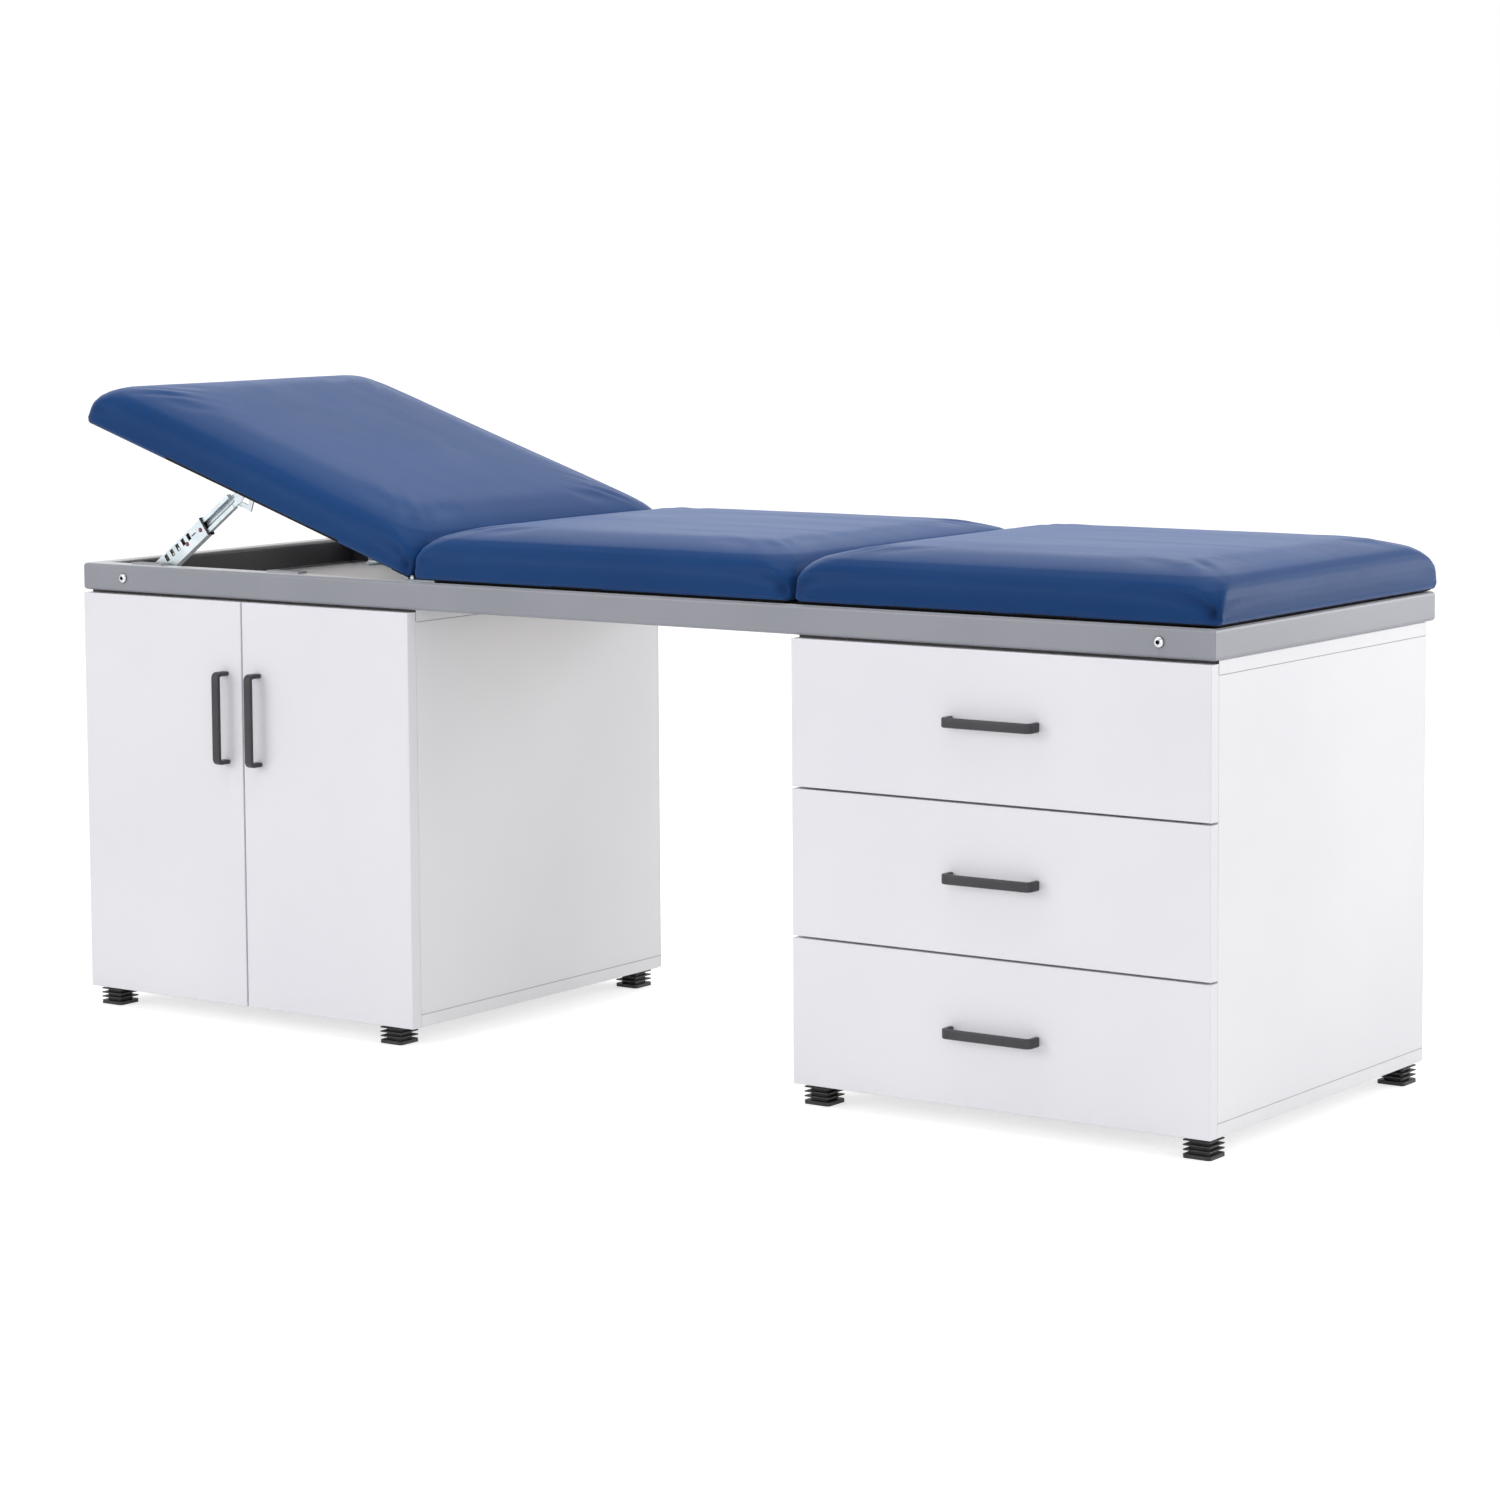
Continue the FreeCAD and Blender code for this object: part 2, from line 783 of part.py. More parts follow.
def ribbed_foot(x, y):
    """A square glide: flat base, square core and thin level fins."""
    half = foot_base / 2
    base = clipped_block(x - half, x + half, y - half, y + half, 0, foot_base_thickness,
                         foot_corner_cut)
    core = foot_core / 2
    parts = [base, block(x - core, x + core, y - core, y + core, 0, foot_height)]
    fin = foot_fin / 2
    for index in range(foot_fins):
        z = foot_base_thickness + (index + 1) * foot_fin_pitch - foot_fin_thickness
        parts.append(block(x - fin, x + fin, y - fin, y + fin, z, z + foot_fin_thickness))
    return fused(parts)


def make_feet():
    near = carcass_front + foot_front_inset
    far = carcass_back - foot_back_inset
    left = (
        (left_foot_outer_inset - outer_end, near),
        (-inner_end - left_foot_inner_front_inset, near),
        (-inner_end - left_foot_inner_back_inset, far),
        (left_foot_outer_inset - outer_end, far),
    )
    right = (
        (inner_end + right_foot_inner_inset, near),
        (outer_end - right_foot_outer_inset, near),
        (outer_end - right_foot_outer_inset, far),
        (inner_end + right_foot_inner_inset, far),
    )
    save("left_cabinet_feet", [ribbed_foot(x, y) for x, y in left])
    save("right_cabinet_feet", [ribbed_foot(x, y) for x, y in right])


# Cushions: a foam block under a stretched cover, with a plywood board let in below


def cushion_outline(x0, x1, y0, y1, z, radius):
    """Points of a level rectangle: round corners as short flats, long sides pulled in a little."""
    corners = (
        (x1 - radius, y0 + radius, -90), (x1 - radius, y1 - radius, 0),
        (x0 + radius, y1 - radius, 90), (x0 + radius, y0 + radius, 180),
    )
    middle = (x0 + x1) / 2
    draw = cushion_draw_share * ((x1 - x0) / 2 - radius)
    points = [V(middle, y0 + draw, z)]
    for number, (centre_x, centre_y, first_turn) in enumerate(corners):
        for step in range(cushion_corner_flats + 1):
            turn = math.radians(first_turn + 90 * step / cushion_corner_flats)
            points.append(V(centre_x + radius * math.cos(turn),
                            centre_y + radius * math.sin(turn), z))
        if number == 1:
            points.append(V(middle, y1 - draw, z))
    return points


def cushion_form(x0, x1):
    """Crowned block with a small lower edge and a wide, elliptic upper edge."""
    y0 = -half_width - cushion_side_overhang
    y1 = -y0
    z0 = cushion_bottom
    sections = []
    for turn in cushion_lower_turns:
        angle = math.radians(turn)
        depth = cushion_foot_edge * (1 - math.cos(angle))
        sections.append((z0 + cushion_foot_edge * (1 + math.sin(angle)), depth))
    rise = cushion_height - cushion_foot_edge - cushion_crown
    for turn in cushion_upper_turns:
        angle = math.radians(turn)
        depth = cushion_edge_depth * (1 - math.cos(angle))
        sections.append((z0 + cushion_foot_edge + rise * math.sin(angle), depth))
    inner = min(x1 - x0, y1 - y0) / 2 - cushion_edge_depth
    for rise_share, depth_share in cushion_crown_share_pairs:
        z = z0 + cushion_height - cushion_crown * (1 - rise_share)
        sections.append((z, cushion_edge_depth + inner * depth_share))
    rings = []
    for z, depth in sections:
        limit = cushion_corner_limit_share * (min(x1 - x0, y1 - y0) - 2 * depth)
        radius = min(cushion_corner_radius + cushion_corner_growth_share * depth, limit)
        rings.append(cushion_outline(x0 + depth, x1 - depth, y0 + depth, y1 - depth, z, radius))
    return faceted(rings)


def board_outline(x0, x1, inset, z0, z1):
    """A box that stands in from the cushion's sides."""
    y = half_width + cushion_side_overhang - inset
    return block(x0 + inset, x1 - inset, -y, y, z0, z1)


def cushion_and_board(x0, x1):
    """The cushion with the pocket for its board, and the board itself."""
    form = cushion_form(x0, x1)
    floor = cushion_bottom + cover_sheet
    inset = ply_inset + cushion_foot_edge
    pocket = board_outline(x0, x1, inset, floor, floor + ply + 2 * ply_clearance)
    mouth = board_outline(x0, x1, inset + cover_margin, cushion_bottom - cut_overrun, floor)
    cushion = form.cut(pocket).cut(mouth)
    sheet = board_outline(x0, x1, inset + ply_clearance, floor + ply_clearance,
                          floor + ply_clearance + ply)
    return cushion, sheet


def tilt(shape):
    """Lift a piece of the head section from flat to the pose in the photograph."""
    shape.rotate(V(hinge_x, 0, hinge_z), V(0, 1, 0), head_angle)
    return shape


def cushion_spans():
    """Each cushion's name and its low and high X when it lies flat."""
    edge = cushion_joint_gap / 2
    return (
        ("head", -half_length - cushion_head_overhang, -cushion_joint - edge),
        ("middle", -cushion_joint + edge, cushion_joint - edge),
        ("foot", cushion_joint + edge, half_length + cushion_foot_overhang),
    )


def make_cushions():
    for name, x0, x1 in cushion_spans():
        cushion, sheet = cushion_and_board(x0, x1)
        if name == "head":
            tilt(cushion)
            tilt(sheet)
        save(name + "_cushion", [cushion])
        save(name + "_board", [sheet])


def make_cushion_seats():
    """Rubber pads between the long rails and the cushions, two a side under each cushion."""
    pads = []
    y0 = tube_width - half_width - pad_width
    insets = {
        "head": (pad_head_outer_inset, pad_head_inner_inset),
        "middle": (pad_middle_inset, pad_middle_inset),
        "foot": (pad_foot_inner_inset, pad_foot_outer_inset),
    }
    for name, x0, x1 in cushion_spans():
        low_inset, high_inset = insets[name]
        for x in (x0 + low_inset, x1 - high_inset):
            pads.append(block(x - pad_length / 2, x + pad_length / 2, y0, y0 + pad_width,
                              frame_top, frame_top + pad_thickness))
    save("cushion_pads", pads + [mirrored(pad) for pad in pads])


# Butt hinges between the head and middle boards


def leaf_hinge():
    """Fixed leaf with two outer knuckles, moving leaf with the middle one, a plain pin."""
    start = hinge_end_inset - half_width
    third = (hinge_length - 2 * hinge_knuckle_gap) / 3
    fixed_low = frame_top
    fixed_high = frame_top + hinge_leaf
    moving_high = cushion_bottom
    moving_low = cushion_bottom - hinge_leaf
    near = hinge_leaf_setback
    far = hinge_leaf_setback + hinge_leaf_width
    end = start + hinge_length
    fixed = [block(hinge_x + near, hinge_x + far, start, end, fixed_low, fixed_high)]
    moving = [block(hinge_x - far, hinge_x - near, start, end, moving_low, moving_high)]
    knuckles = (
        (fixed, start, start + third, 1, fixed_low, fixed_high),
        (moving, start + third + hinge_knuckle_gap, end - third - hinge_knuckle_gap, -1,
         moving_low, moving_high),
        (fixed, end - third, end, 1, fixed_low, fixed_high),
    )
    for leaf, y0, y1, side, low, high in knuckles:
        barrel = rod(V(hinge_x, y0, hinge_z), V(0, 1, 0), hinge_barrel_radius, y1 - y0)
        tab_low, tab_high = sorted((hinge_x, hinge_x + side * near))
        leaf.append(block(tab_low, tab_high, y0, y1, low, high))
        leaf.append(barrel)
    bore = rod(V(hinge_x, start - cut_overrun, hinge_z), V(0, 1, 0),
               hinge_pin_radius + hinge_pin_play, hinge_length + 2 * cut_overrun)
    pin = rod(V(hinge_x, start, hinge_z), V(0, 1, 0), hinge_pin_radius, hinge_length)
    return fused(fixed).cut(bore), fused(moving).cut(bore), pin


def make_head_hinges():
    fixed, moving, pin = leaf_hinge()
    other = [mirrored(fixed), mirrored(moving), mirrored(pin)]
    tilt(moving)
    tilt(other[1])
    save("head_hinge_fixed_leaves", [fixed, other[0]])
    save("head_hinge_moving_leaves", [moving, other[1]])
    save("head_hinge_pins", [pin, other[2]])


# Ratchet struts, drawn along X from the lower pivot and then leaned into place


def strut_foot():
    """Lower pivot, on the inner face of the front rail."""
    return V(strut_foot_x, strut_inset + tube_width - half_width, frame_bottom + strut_foot_rise)


def flat_top_pivot():
    """Upper pivot under the head board when the board lies flat."""
    turn = math.radians(head_angle)
    below = hinge_z - (cushion_bottom - strut_drop)
    along = (strut_top_x - hinge_x + below * math.sin(turn)) / math.cos(turn)
    return V(hinge_x + along, strut_foot().y, hinge_z - below)


def top_pivot():
    """Upper pivot at the photographed pose."""
    flat = flat_top_pivot()
    turn = math.radians(head_angle)
    dx = flat.x - hinge_x
    dz = flat.z - hinge_z
    return V(hinge_x + dx * math.cos(turn) + dz * math.sin(turn), flat.y,
             hinge_z - dx * math.sin(turn) + dz * math.cos(turn))


def strut_length():
    """Pivot to pivot at the photographed pose."""
    return top_pivot().sub(strut_foot()).Length


def lean(shape):
    """Turn a strut piece from the X axis to its place on the bed."""
    reach = top_pivot().sub(strut_foot())
    rise = math.degrees(math.atan2(reach.z, reach.x))
    shape.rotate(V(0, 0, 0), V(0, -1, 0), rise)
    shape.translate(strut_foot())
    return shape


def face_window(s, t, along, across, clip):
    """What is punched from the channel's face: a small window with its corners cut off."""
    y = -channel_depth / 2 - cut_overrun
    half_s = along / 2
    half_t = across / 2
    points = (
        V(s + half_s - clip, y, t - half_t), V(s + half_s, y, t - half_t + clip),
        V(s + half_s, y, t + half_t - clip), V(s + half_s - clip, y, t + half_t),
        V(s - half_s + clip, y, t + half_t), V(s - half_s, y, t + half_t - clip),
        V(s - half_s, y, t - half_t + clip), V(s - half_s + clip, y, t - half_t),
    )
    return prism(points, V(0, channel_sheet + 2 * cut_overrun, 0))


def strut_channel():
    """Lower member: a lipped channel with a row of ratchet slots and an end collar."""
    half = channel_width / 2
    deep = channel_depth / 2
    outer = block(0, channel_length, -deep, deep, -half, half)
    outer = outer.fuse(rod(V(0, -deep, 0), V(0, 1, 0), half, channel_depth))
    inner = block(-half - cut_overrun, channel_length + cut_overrun,
                  -deep + channel_sheet, deep - channel_sheet,
                  -half + channel_sheet, half - channel_sheet)
    mouth = block(-half - cut_overrun, channel_length + cut_overrun, 0, deep + cut_overrun,
                  -half + channel_lip, half - channel_lip)
    collar = block(channel_length - collar_length, channel_length,
                   -deep - collar_sheet, deep,
                   -half - collar_sheet, half + collar_sheet)
    shape = outer.fuse(collar).cut(inner).cut(mouth)
    for index in range(ratchet_slots):
        s = ratchet_start + index * ratchet_pitch
        shape = shape.cut(face_window(s, ratchet_offset, ratchet_slot_width,
                                      ratchet_slot_length, ratchet_slot_clip))
    shape = shape.cut(face_window(release_slit_start + release_slit_length / 2,
                                  release_slit_offset, release_slit_length,
                                  release_slit_width, release_slit_clip))
    pivot = rod(V(0, -deep - cut_overrun, 0), V(0, 1, 0), strut_pin_radius + strut_pin_play,
                channel_sheet + 2 * cut_overrun)
    return shape.cut(pivot)


def strut_slide():
    """Upper member: a lipped channel that runs inside the lower one and ends in an eye."""
    half = channel_width / 2 - channel_sheet - strut_play
    deep = channel_depth / 2 - channel_sheet - strut_play
    eye = strut_length()
    start = eye - slide_tail
    stop = eye - slide_flange_stop
    outer = block(start, stop, -deep, deep, -half, half)
    inner = block(start - cut_overrun, stop + cut_overrun, -deep + slide_sheet, deep - slide_sheet,
                  -half + slide_sheet, half - slide_sheet)
    mouth = block(start - cut_overrun, stop + cut_overrun, -deep - cut_overrun, 0,
                  -half + slide_lip, half - slide_lip)
    shell = outer.cut(inner).cut(mouth)
    bead_base = deep - slide_sheet
    bead = prism((
        V(start, bead_base, -slide_bead_width / 2), V(start, bead_base, slide_bead_width / 2),
        V(start, bead_base - slide_bead_height, slide_bead_crest / 2),
        V(start, bead_base - slide_bead_height, -slide_bead_crest / 2),
    ), V(stop - start, 0, 0))
    tongue = block(stop - slide_flange_stop, eye, deep - slide_sheet, deep,
                   -slide_tongue_radius, slide_tongue_radius)
    tip = rod(V(eye, deep - slide_sheet, 0), V(0, 1, 0), slide_tongue_radius, slide_sheet)
    pin_end = deep + lug_gap + lug_sheet + lug_gap
    pin = rod(V(eye, deep - slide_sheet, 0), V(0, 1, 0), top_pin_radius,
              pin_end + top_pin_head - deep + slide_sheet)
    pin_head = prism(hexagon(eye, pin_end, 0, top_pin_head_across), V(0, top_pin_head, 0))
    return fused([shell, bead, tongue, tip, pin, pin_head])


def strut_foot_pin():
    """Stud with a hexagon head that stands on the rail's inner face and carries the channel."""
    foot = strut_foot()
    face = tube_width - half_width
    web_back = foot.y - channel_depth / 2 + channel_sheet
    stud = rod(V(foot.x, face, foot.z), V(0, 1, 0), strut_pin_radius, web_back + strut_play - face)
    head = prism(hexagon(foot.x, web_back + strut_play, foot.z, strut_pin_head_across),
                 V(0, strut_pin_head, 0))
    return fused([stud, head])


def open_pivot_travel():
    """How far the slide's pin strays in the bracket when turn and slide run at steady ratios."""
    foot = strut_foot()
    flat = flat_top_pivot()
    down = flat.sub(foot)
    up = top_pivot().sub(foot)
    rise_down = math.atan2(down.z, down.x)
    rise_up = math.atan2(up.z, up.x)
    strays = []
    for step in range(lug_travel_steps + 1):
        share = step / lug_travel_steps
        length = down.Length + (up.Length - down.Length) * share
        rise = rise_down + (rise_up - rise_down) * share
        turn = math.radians(head_angle) * share
        dx = foot.x + length * math.cos(rise) - hinge_x
        dz = foot.z + length * math.sin(rise) - hinge_z
        along = hinge_x + dx * math.cos(turn) - dz * math.sin(turn)
        level = hinge_z + dx * math.sin(turn) + dz * math.cos(turn)
        strays.append((along - flat.x, level - flat.z))
    return strays


def strut_bracket():
    """Angle under the head board. Its slot gives the open upper pivot its play."""
    pivot = flat_top_pivot()
    strays = open_pivot_travel()
    deep = channel_depth / 2 - channel_sheet - strut_play
    lug_low = pivot.y + deep + lug_gap
    lug_high = lug_low + lug_sheet
    play = top_pin_radius + lug_slot_play
    slot_x0 = pivot.x + min(along for along, level in strays) - play
    slot_x1 = pivot.x + max(along for along, level in strays) + play
    slot_z0 = pivot.z + min(level for along, level in strays) - play
    slot_z1 = pivot.z + max(level for along, level in strays) + play
    x0 = slot_x0 - lug_margin
    x1 = slot_x1 + lug_margin
    lug = block(x0, x1, lug_low, lug_high, slot_z0 - lug_margin, cushion_bottom)
    plate = block(x0, x1, lug_low, lug_low + lug_plate_width,
                  cushion_bottom - lug_plate_sheet, cushion_bottom)
    slot = block(slot_x0, slot_x1, lug_low - cut_overrun, lug_high + cut_overrun, slot_z0, slot_z1)
    corners = [edge for edge in slot.Edges if edge.BoundBox.YLength > lug_sheet]
    slot = slot.makeChamfer(lug_slot_clip, corners)
    return fused([lug, plate]).cut(slot)


def make_struts():
    pin = strut_foot_pin()
    save("strut_foot_pins", [pin, mirrored(pin)])
    bracket = strut_bracket()
    save("strut_brackets", [tilt(bracket), tilt(mirrored(strut_bracket()))])
    save("front_strut_channel", [lean(strut_channel())])
    save("front_strut_slide", [lean(strut_slide())])
    save("back_strut_channel", [mirrored(lean(strut_channel()))])
    save("back_strut_slide", [mirrored(lean(strut_slide()))])


def report_motion():
    """Print the ratios that tie the struts to the head section's tilt."""
    foot = strut_foot()
    up = top_pivot().sub(foot)
    flat = flat_top_pivot().sub(foot)
    rise_up = math.degrees(math.atan2(up.z, up.x))
    rise_flat = math.degrees(math.atan2(flat.z, flat.x))
    print("strut length raised and flat", up.Length, flat.Length)
    print("strut rise raised and flat", rise_up, rise_flat)
    print("turn ratio", (rise_up - rise_flat) / head_angle)
    print("slide ratio", (up.Length - flat.Length) / 1000 / math.radians(head_angle))
    strays = open_pivot_travel()
    print("open pivot strays", max(abs(along) for along, level in strays),
          max(abs(level) for along, level in strays))
    print("origin shift", origin_shift)


os.makedirs("parts", exist_ok=True)
make_frame()
make_frame_fixings()
make_carcass("left", -1)
make_carcass("right", 1)
make_shelf()
make_doors()
make_drawers()
make_feet()
make_cushions()
make_cushion_seats()
make_head_hinges()
make_struts()
report_motion()
for part_name, part_solids in saved.items():
    for part_solid in part_solids:
        if not part_solid.isValid() or not part_solid.isClosed():
            print("check", part_name)
print(len(saved), "sub-parts")
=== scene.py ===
# Looks of a spa bed: blue padded cushions on a silver-grey tube frame, on a white
# cabinet with two doors and a white cabinet with three drawers.
# Metres. +X runs to the foot end, the front faces -Y, +Z is up, the floor is Z = 0.
import json
import math

import bpy
import numpy as np
from mathutils import Matrix, Vector, noise


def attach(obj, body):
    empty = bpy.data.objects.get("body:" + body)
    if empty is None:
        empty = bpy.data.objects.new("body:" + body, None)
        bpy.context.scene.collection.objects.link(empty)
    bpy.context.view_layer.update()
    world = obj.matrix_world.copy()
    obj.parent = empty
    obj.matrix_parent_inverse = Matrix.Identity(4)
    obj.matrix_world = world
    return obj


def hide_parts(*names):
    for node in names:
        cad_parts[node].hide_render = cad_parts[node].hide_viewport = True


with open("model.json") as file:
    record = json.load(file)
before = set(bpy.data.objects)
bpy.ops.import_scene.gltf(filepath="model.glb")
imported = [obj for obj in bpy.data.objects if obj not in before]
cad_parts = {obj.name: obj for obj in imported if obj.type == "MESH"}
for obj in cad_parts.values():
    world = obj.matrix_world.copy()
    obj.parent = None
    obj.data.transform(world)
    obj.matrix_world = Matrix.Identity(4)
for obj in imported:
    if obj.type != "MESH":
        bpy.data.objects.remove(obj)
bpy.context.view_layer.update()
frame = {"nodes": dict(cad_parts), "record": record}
nodes = frame["nodes"]
scene = bpy.context.scene

MM = 0.001

# Sizes shared with the solids
row_shift = Vector((-2.5 * MM, 13.5 * MM, 0))
half_length = 950 * MM
half_width = 300 * MM
cushion_bottom = 665 * MM
cushion_side = 303 * MM
cushion_joint = 322 * MM
cushion_joint_gap = 5 * MM
hinge_point = Vector((-322 * MM, 0, 667 * MM)) + row_shift
head_angle = math.radians(18.3)
rail_middle = 642 * MM
rail_top = 662 * MM
bolt_x = 871 * MM
front_plane = -305 * MM
strut_foot = Vector((-845 * MM, 0, 642 * MM)) + row_shift
strut_rise = math.radians(36.944)
channel_length = 133 * MM
channel_face = 266 * MM
window_start = 42.4 * MM
window_pitch = 13.6 * MM
window_offset = 5.5 * MM
window_count = 5
top_joint = 604 * MM
bottom_joint = 48 * MM
board_front = -286 * MM


# Camera, solved from the corners of the frame and cabinets in the photograph

photo_size = 1500
principal_v = 600
camera_place = Vector((3.383065, -4.708934, 1.165583)) + row_shift
camera_yaw = 0.6168
camera_pitch = 0.0925
camera_roll = -0.0066
focal_pixels = 4141.38
sensor_width = 36.0


def make_camera():
    """The photograph's viewpoint, with the frame shifted down by a tenth of its height."""
    forward = Vector((
        -math.sin(camera_yaw) * math.cos(camera_pitch),
        math.cos(camera_yaw) * math.cos(camera_pitch),
        -math.sin(camera_pitch),
    ))
    right = forward.cross(Vector((0, 0, 1))).normalized()
    up = right.cross(forward)
    turned_right = right * math.cos(camera_roll) + up * math.sin(camera_roll)
    turned_up = up * math.cos(camera_roll) - right * math.sin(camera_roll)
    data = bpy.data.cameras.new("camera")
    data.sensor_width = sensor_width
    data.lens = focal_pixels * sensor_width / photo_size
    data.shift_y = (principal_v - photo_size / 2) / photo_size
    data.clip_end = 100
    camera = bpy.data.objects.new("camera", data)
    rotation = Matrix((turned_right, turned_up, -forward)).transposed()
    camera.matrix_world = Matrix.Translation(camera_place) @ rotation.to_4x4()
    scene.collection.objects.link(camera)
    scene.camera = camera


make_camera()
scene.view_settings.view_transform = "Standard"


# Shader values


class Value:
    """A shader socket that plain arithmetic and comparison work on."""

    def __init__(self, socket):
        self.socket = socket

    def __add__(self, other):
        return math_node("ADD", self, other)

    def __sub__(self, other):
        return math_node("SUBTRACT", self, other)

    def __rsub__(self, other):
        return math_node("SUBTRACT", other, self)

    def __mul__(self, other):
        return math_node("MULTIPLY", self, other)

    def __truediv__(self, other):
        return math_node("DIVIDE", self, other)

    def __lt__(self, other):
        return math_node("LESS_THAN", self, other)

    def __gt__(self, other):
        return math_node("GREATER_THAN", self, other)

    def __abs__(self):
        return math_node("ABSOLUTE", self)


def plug(value, socket):
    """Put a shader value, a number or a colour into a socket."""
    if isinstance(value, Value):
        socket.id_data.links.new(value.socket, socket)
    else:
        socket.default_value = value


def set_all(thing, **settings):
    """Set several properties of a thing."""
    for label, setting in settings.items():
        setattr(thing, label, setting)


def new_node(kind, values, sockets=None, **settings):
    """A node in the tree that its values come from, with its inputs and settings."""
    tree = next(value.socket.id_data for value in values if isinstance(value, Value))
    node = tree.nodes.new(kind)
    set_all(node, **settings)
    for key, value in zip(sockets or range(len(values)), values):
        plug(value, node.inputs[key])
    return node


def math_node(operation, *values):
    """A Math node on shader values and plain numbers."""
    return Value(new_node("ShaderNodeMath", values, operation=operation).outputs[0])


def vector_node(operation, output, *values):
    """A Vector Math node on shader values and plain vectors."""
    node = new_node("ShaderNodeVectorMath", values, operation=operation)
    return Value(node.outputs[output])


def mix_colour(share, first, second):
    """The first colour turning into the second, by a share from 0 to 1."""
    node = new_node("ShaderNodeMix", (share, first, second), (0, 6, 7), data_type="RGBA")
    return Value(node.outputs[2])


def noise_value(place, scale, detail, roughness=0.5):
    """A Noise Texture's value at a place."""
    node = new_node("ShaderNodeTexNoise", (place, scale, detail, roughness),
                    ("Vector", "Scale", "Detail", "Roughness"))
    return Value(node.outputs["Fac"])


def value_range(value, low, high, new_low, new_high):
    """A value moved from one range to another, and kept inside it."""
    node = new_node("ShaderNodeMapRange", (value, low, high, new_low, new_high),
                    ("Value", "From Min", "From Max", "To Min", "To Max"))
    return Value(node.outputs["Result"])


def from_noise(value, low, high):
    """A noise's value, which mostly lies between 0.3 and 0.7, spread over a range."""
    return value_range(value, 0.3, 0.7, low, high)


def own_place(tree):
    """A point in the piece's own coordinates, which are the shared frame at rest."""
    return Value(tree.nodes.new("ShaderNodeTexCoord").outputs["Object"])


def own_axes(tree):
    """The X, Y and Z of that point."""
    split = new_node("ShaderNodeSeparateXYZ", (own_place(tree),))
    return [Value(socket) for socket in split.outputs]


def srgb(red, green, blue):
    """A colour picked on a screen, as the linear colour that a shader takes."""
    linear = []
    for value in (red, green, blue):
        share = value / 255
        linear.append(share / 12.92 if share <= 0.04045 else ((share + 0.055) / 1.055) ** 2.4)
    return (*linear, 1.0)


# Shared effects: node groups whose outputs are worked out from a place and named inputs


def drifting_tones(place, light, dark, patch_scale):
    """Slow drift between two tones."""
    mask = value_range(noise_value(place, patch_scale, 3.0), 0.32, 0.68, 0.0, 1.0)
    return mix_colour(mask, dark, light), mask


def peel_height(place, dimple_scale, grit_share):
    """The low dimples of a sprayed or pressed finish, with finer grit between them."""
    grit = noise_value(place, dimple_scale * 3.1, 1.0)
    return noise_value(place, dimple_scale, 2.0) + grit * grit_share, grit


def hide_height(place, pebble_scale, crease_share):
    """The small pebbles and creases of embossed synthetic leather."""
    bend = noise_value(place, 90.0, 2.0)
    shifted = vector_node("MULTIPLY_ADD", "Vector", bend, (0.004, 0.004, 0.004), place)
    cells = new_node("ShaderNodeTexVoronoi", (shifted, pebble_scale), ("Vector", "Scale"),
                     feature="DISTANCE_TO_EDGE")
    pebble = value_range(Value(cells.outputs["Distance"]), 0.0, 0.28, 0.0, 1.0)
    return pebble + noise_value(place, 210.0, 4.0, 0.6) * crease_share, 1.0 - pebble


def drawn_lines(place, stretch, low, high):
    """Fine lines drawn out along one direction, as rolling and stretching leave them."""
    stretched = new_node("ShaderNodeMapping", (place, stretch), ("Vector", "Scale"))
    lines = noise_value(Value(stretched.outputs["Vector"]), 1.0, 3.0, 0.55)
    return value_range(lines, low, high, 0.0, 1.0), lines


def dust_near_floor(place, dust_height, speck_scale):
    """Dust and scuffs that gather near the floor and thin out going up."""
    split = new_node("ShaderNodeSeparateXYZ", (place,))
    low = value_range(Value(split.outputs["Z"]), 0.0, dust_height, 1.0, 0.0)
    return (low * value_range(noise_value(place, speck_scale, 4.0, 0.65), 0.4, 0.7, 0.1, 1.0),)


def make_group(name, work_out, inputs, outputs):
    """A node group with named inputs and outputs."""
    tree = bpy.data.node_groups.new(name, "ShaderNodeTree")
    for direction, sockets in (("INPUT", inputs), ("OUTPUT", outputs)):
        for label, kind in sockets.items():
            tree.interface.new_socket(label, in_out=direction, socket_type="NodeSocket" + kind)
    start = tree.nodes.new("NodeGroupInput")
    end = tree.nodes.new("NodeGroupOutput")
    given = [Value(start.outputs[label]) for label in inputs]
    for result, socket in zip(work_out(own_place(tree), *given), end.inputs):
        plug(result, socket)
    return tree


tone_drift = make_group(
    "tone drift", drifting_tones,
    {"Light tone": "Color", "Dark tone": "Color", "Patch scale": "Float"},
    {"Colour": "Color", "Mask": "Float"})
fine_peel = make_group(
    "fine peel", peel_height, {"Dimple scale": "Float", "Grit share": "Float"},
    {"Height": "Float", "Mask": "Float"})
embossed_hide = make_group(
    "embossed hide", hide_height, {"Pebble scale": "Float", "Crease share": "Float"},
    {"Height": "Float", "Crease": "Float"})
drawn_streaks = make_group(
    "drawn streaks", drawn_lines, {"Stretch": "Vector", "Low": "Float", "High": "Float"},
    {"Mask": "Float", "Height": "Float"})
floor_dust = make_group(
    "floor dust", dust_near_floor, {"Dust height": "Float", "Speck scale": "Float"},
    {"Mask": "Float"})


def use_group(tree, group, *values):
    """The outputs of a shared effect in a material, for its inputs in order."""
    node = tree.nodes.new("ShaderNodeGroup")
    node.node_tree = group
    for value, socket in zip(values, node.inputs):
        plug(value, socket)
    return [Value(socket) for socket in node.outputs]


# Finishes


def fresh_tree(owner, output_kind):
    """The emptied node tree of a material or world, and the socket of its surface."""
    owner.use_nodes = True
    tree = owner.node_tree
    tree.nodes.clear()
    return tree, tree.nodes.new(output_kind).inputs["Surface"]


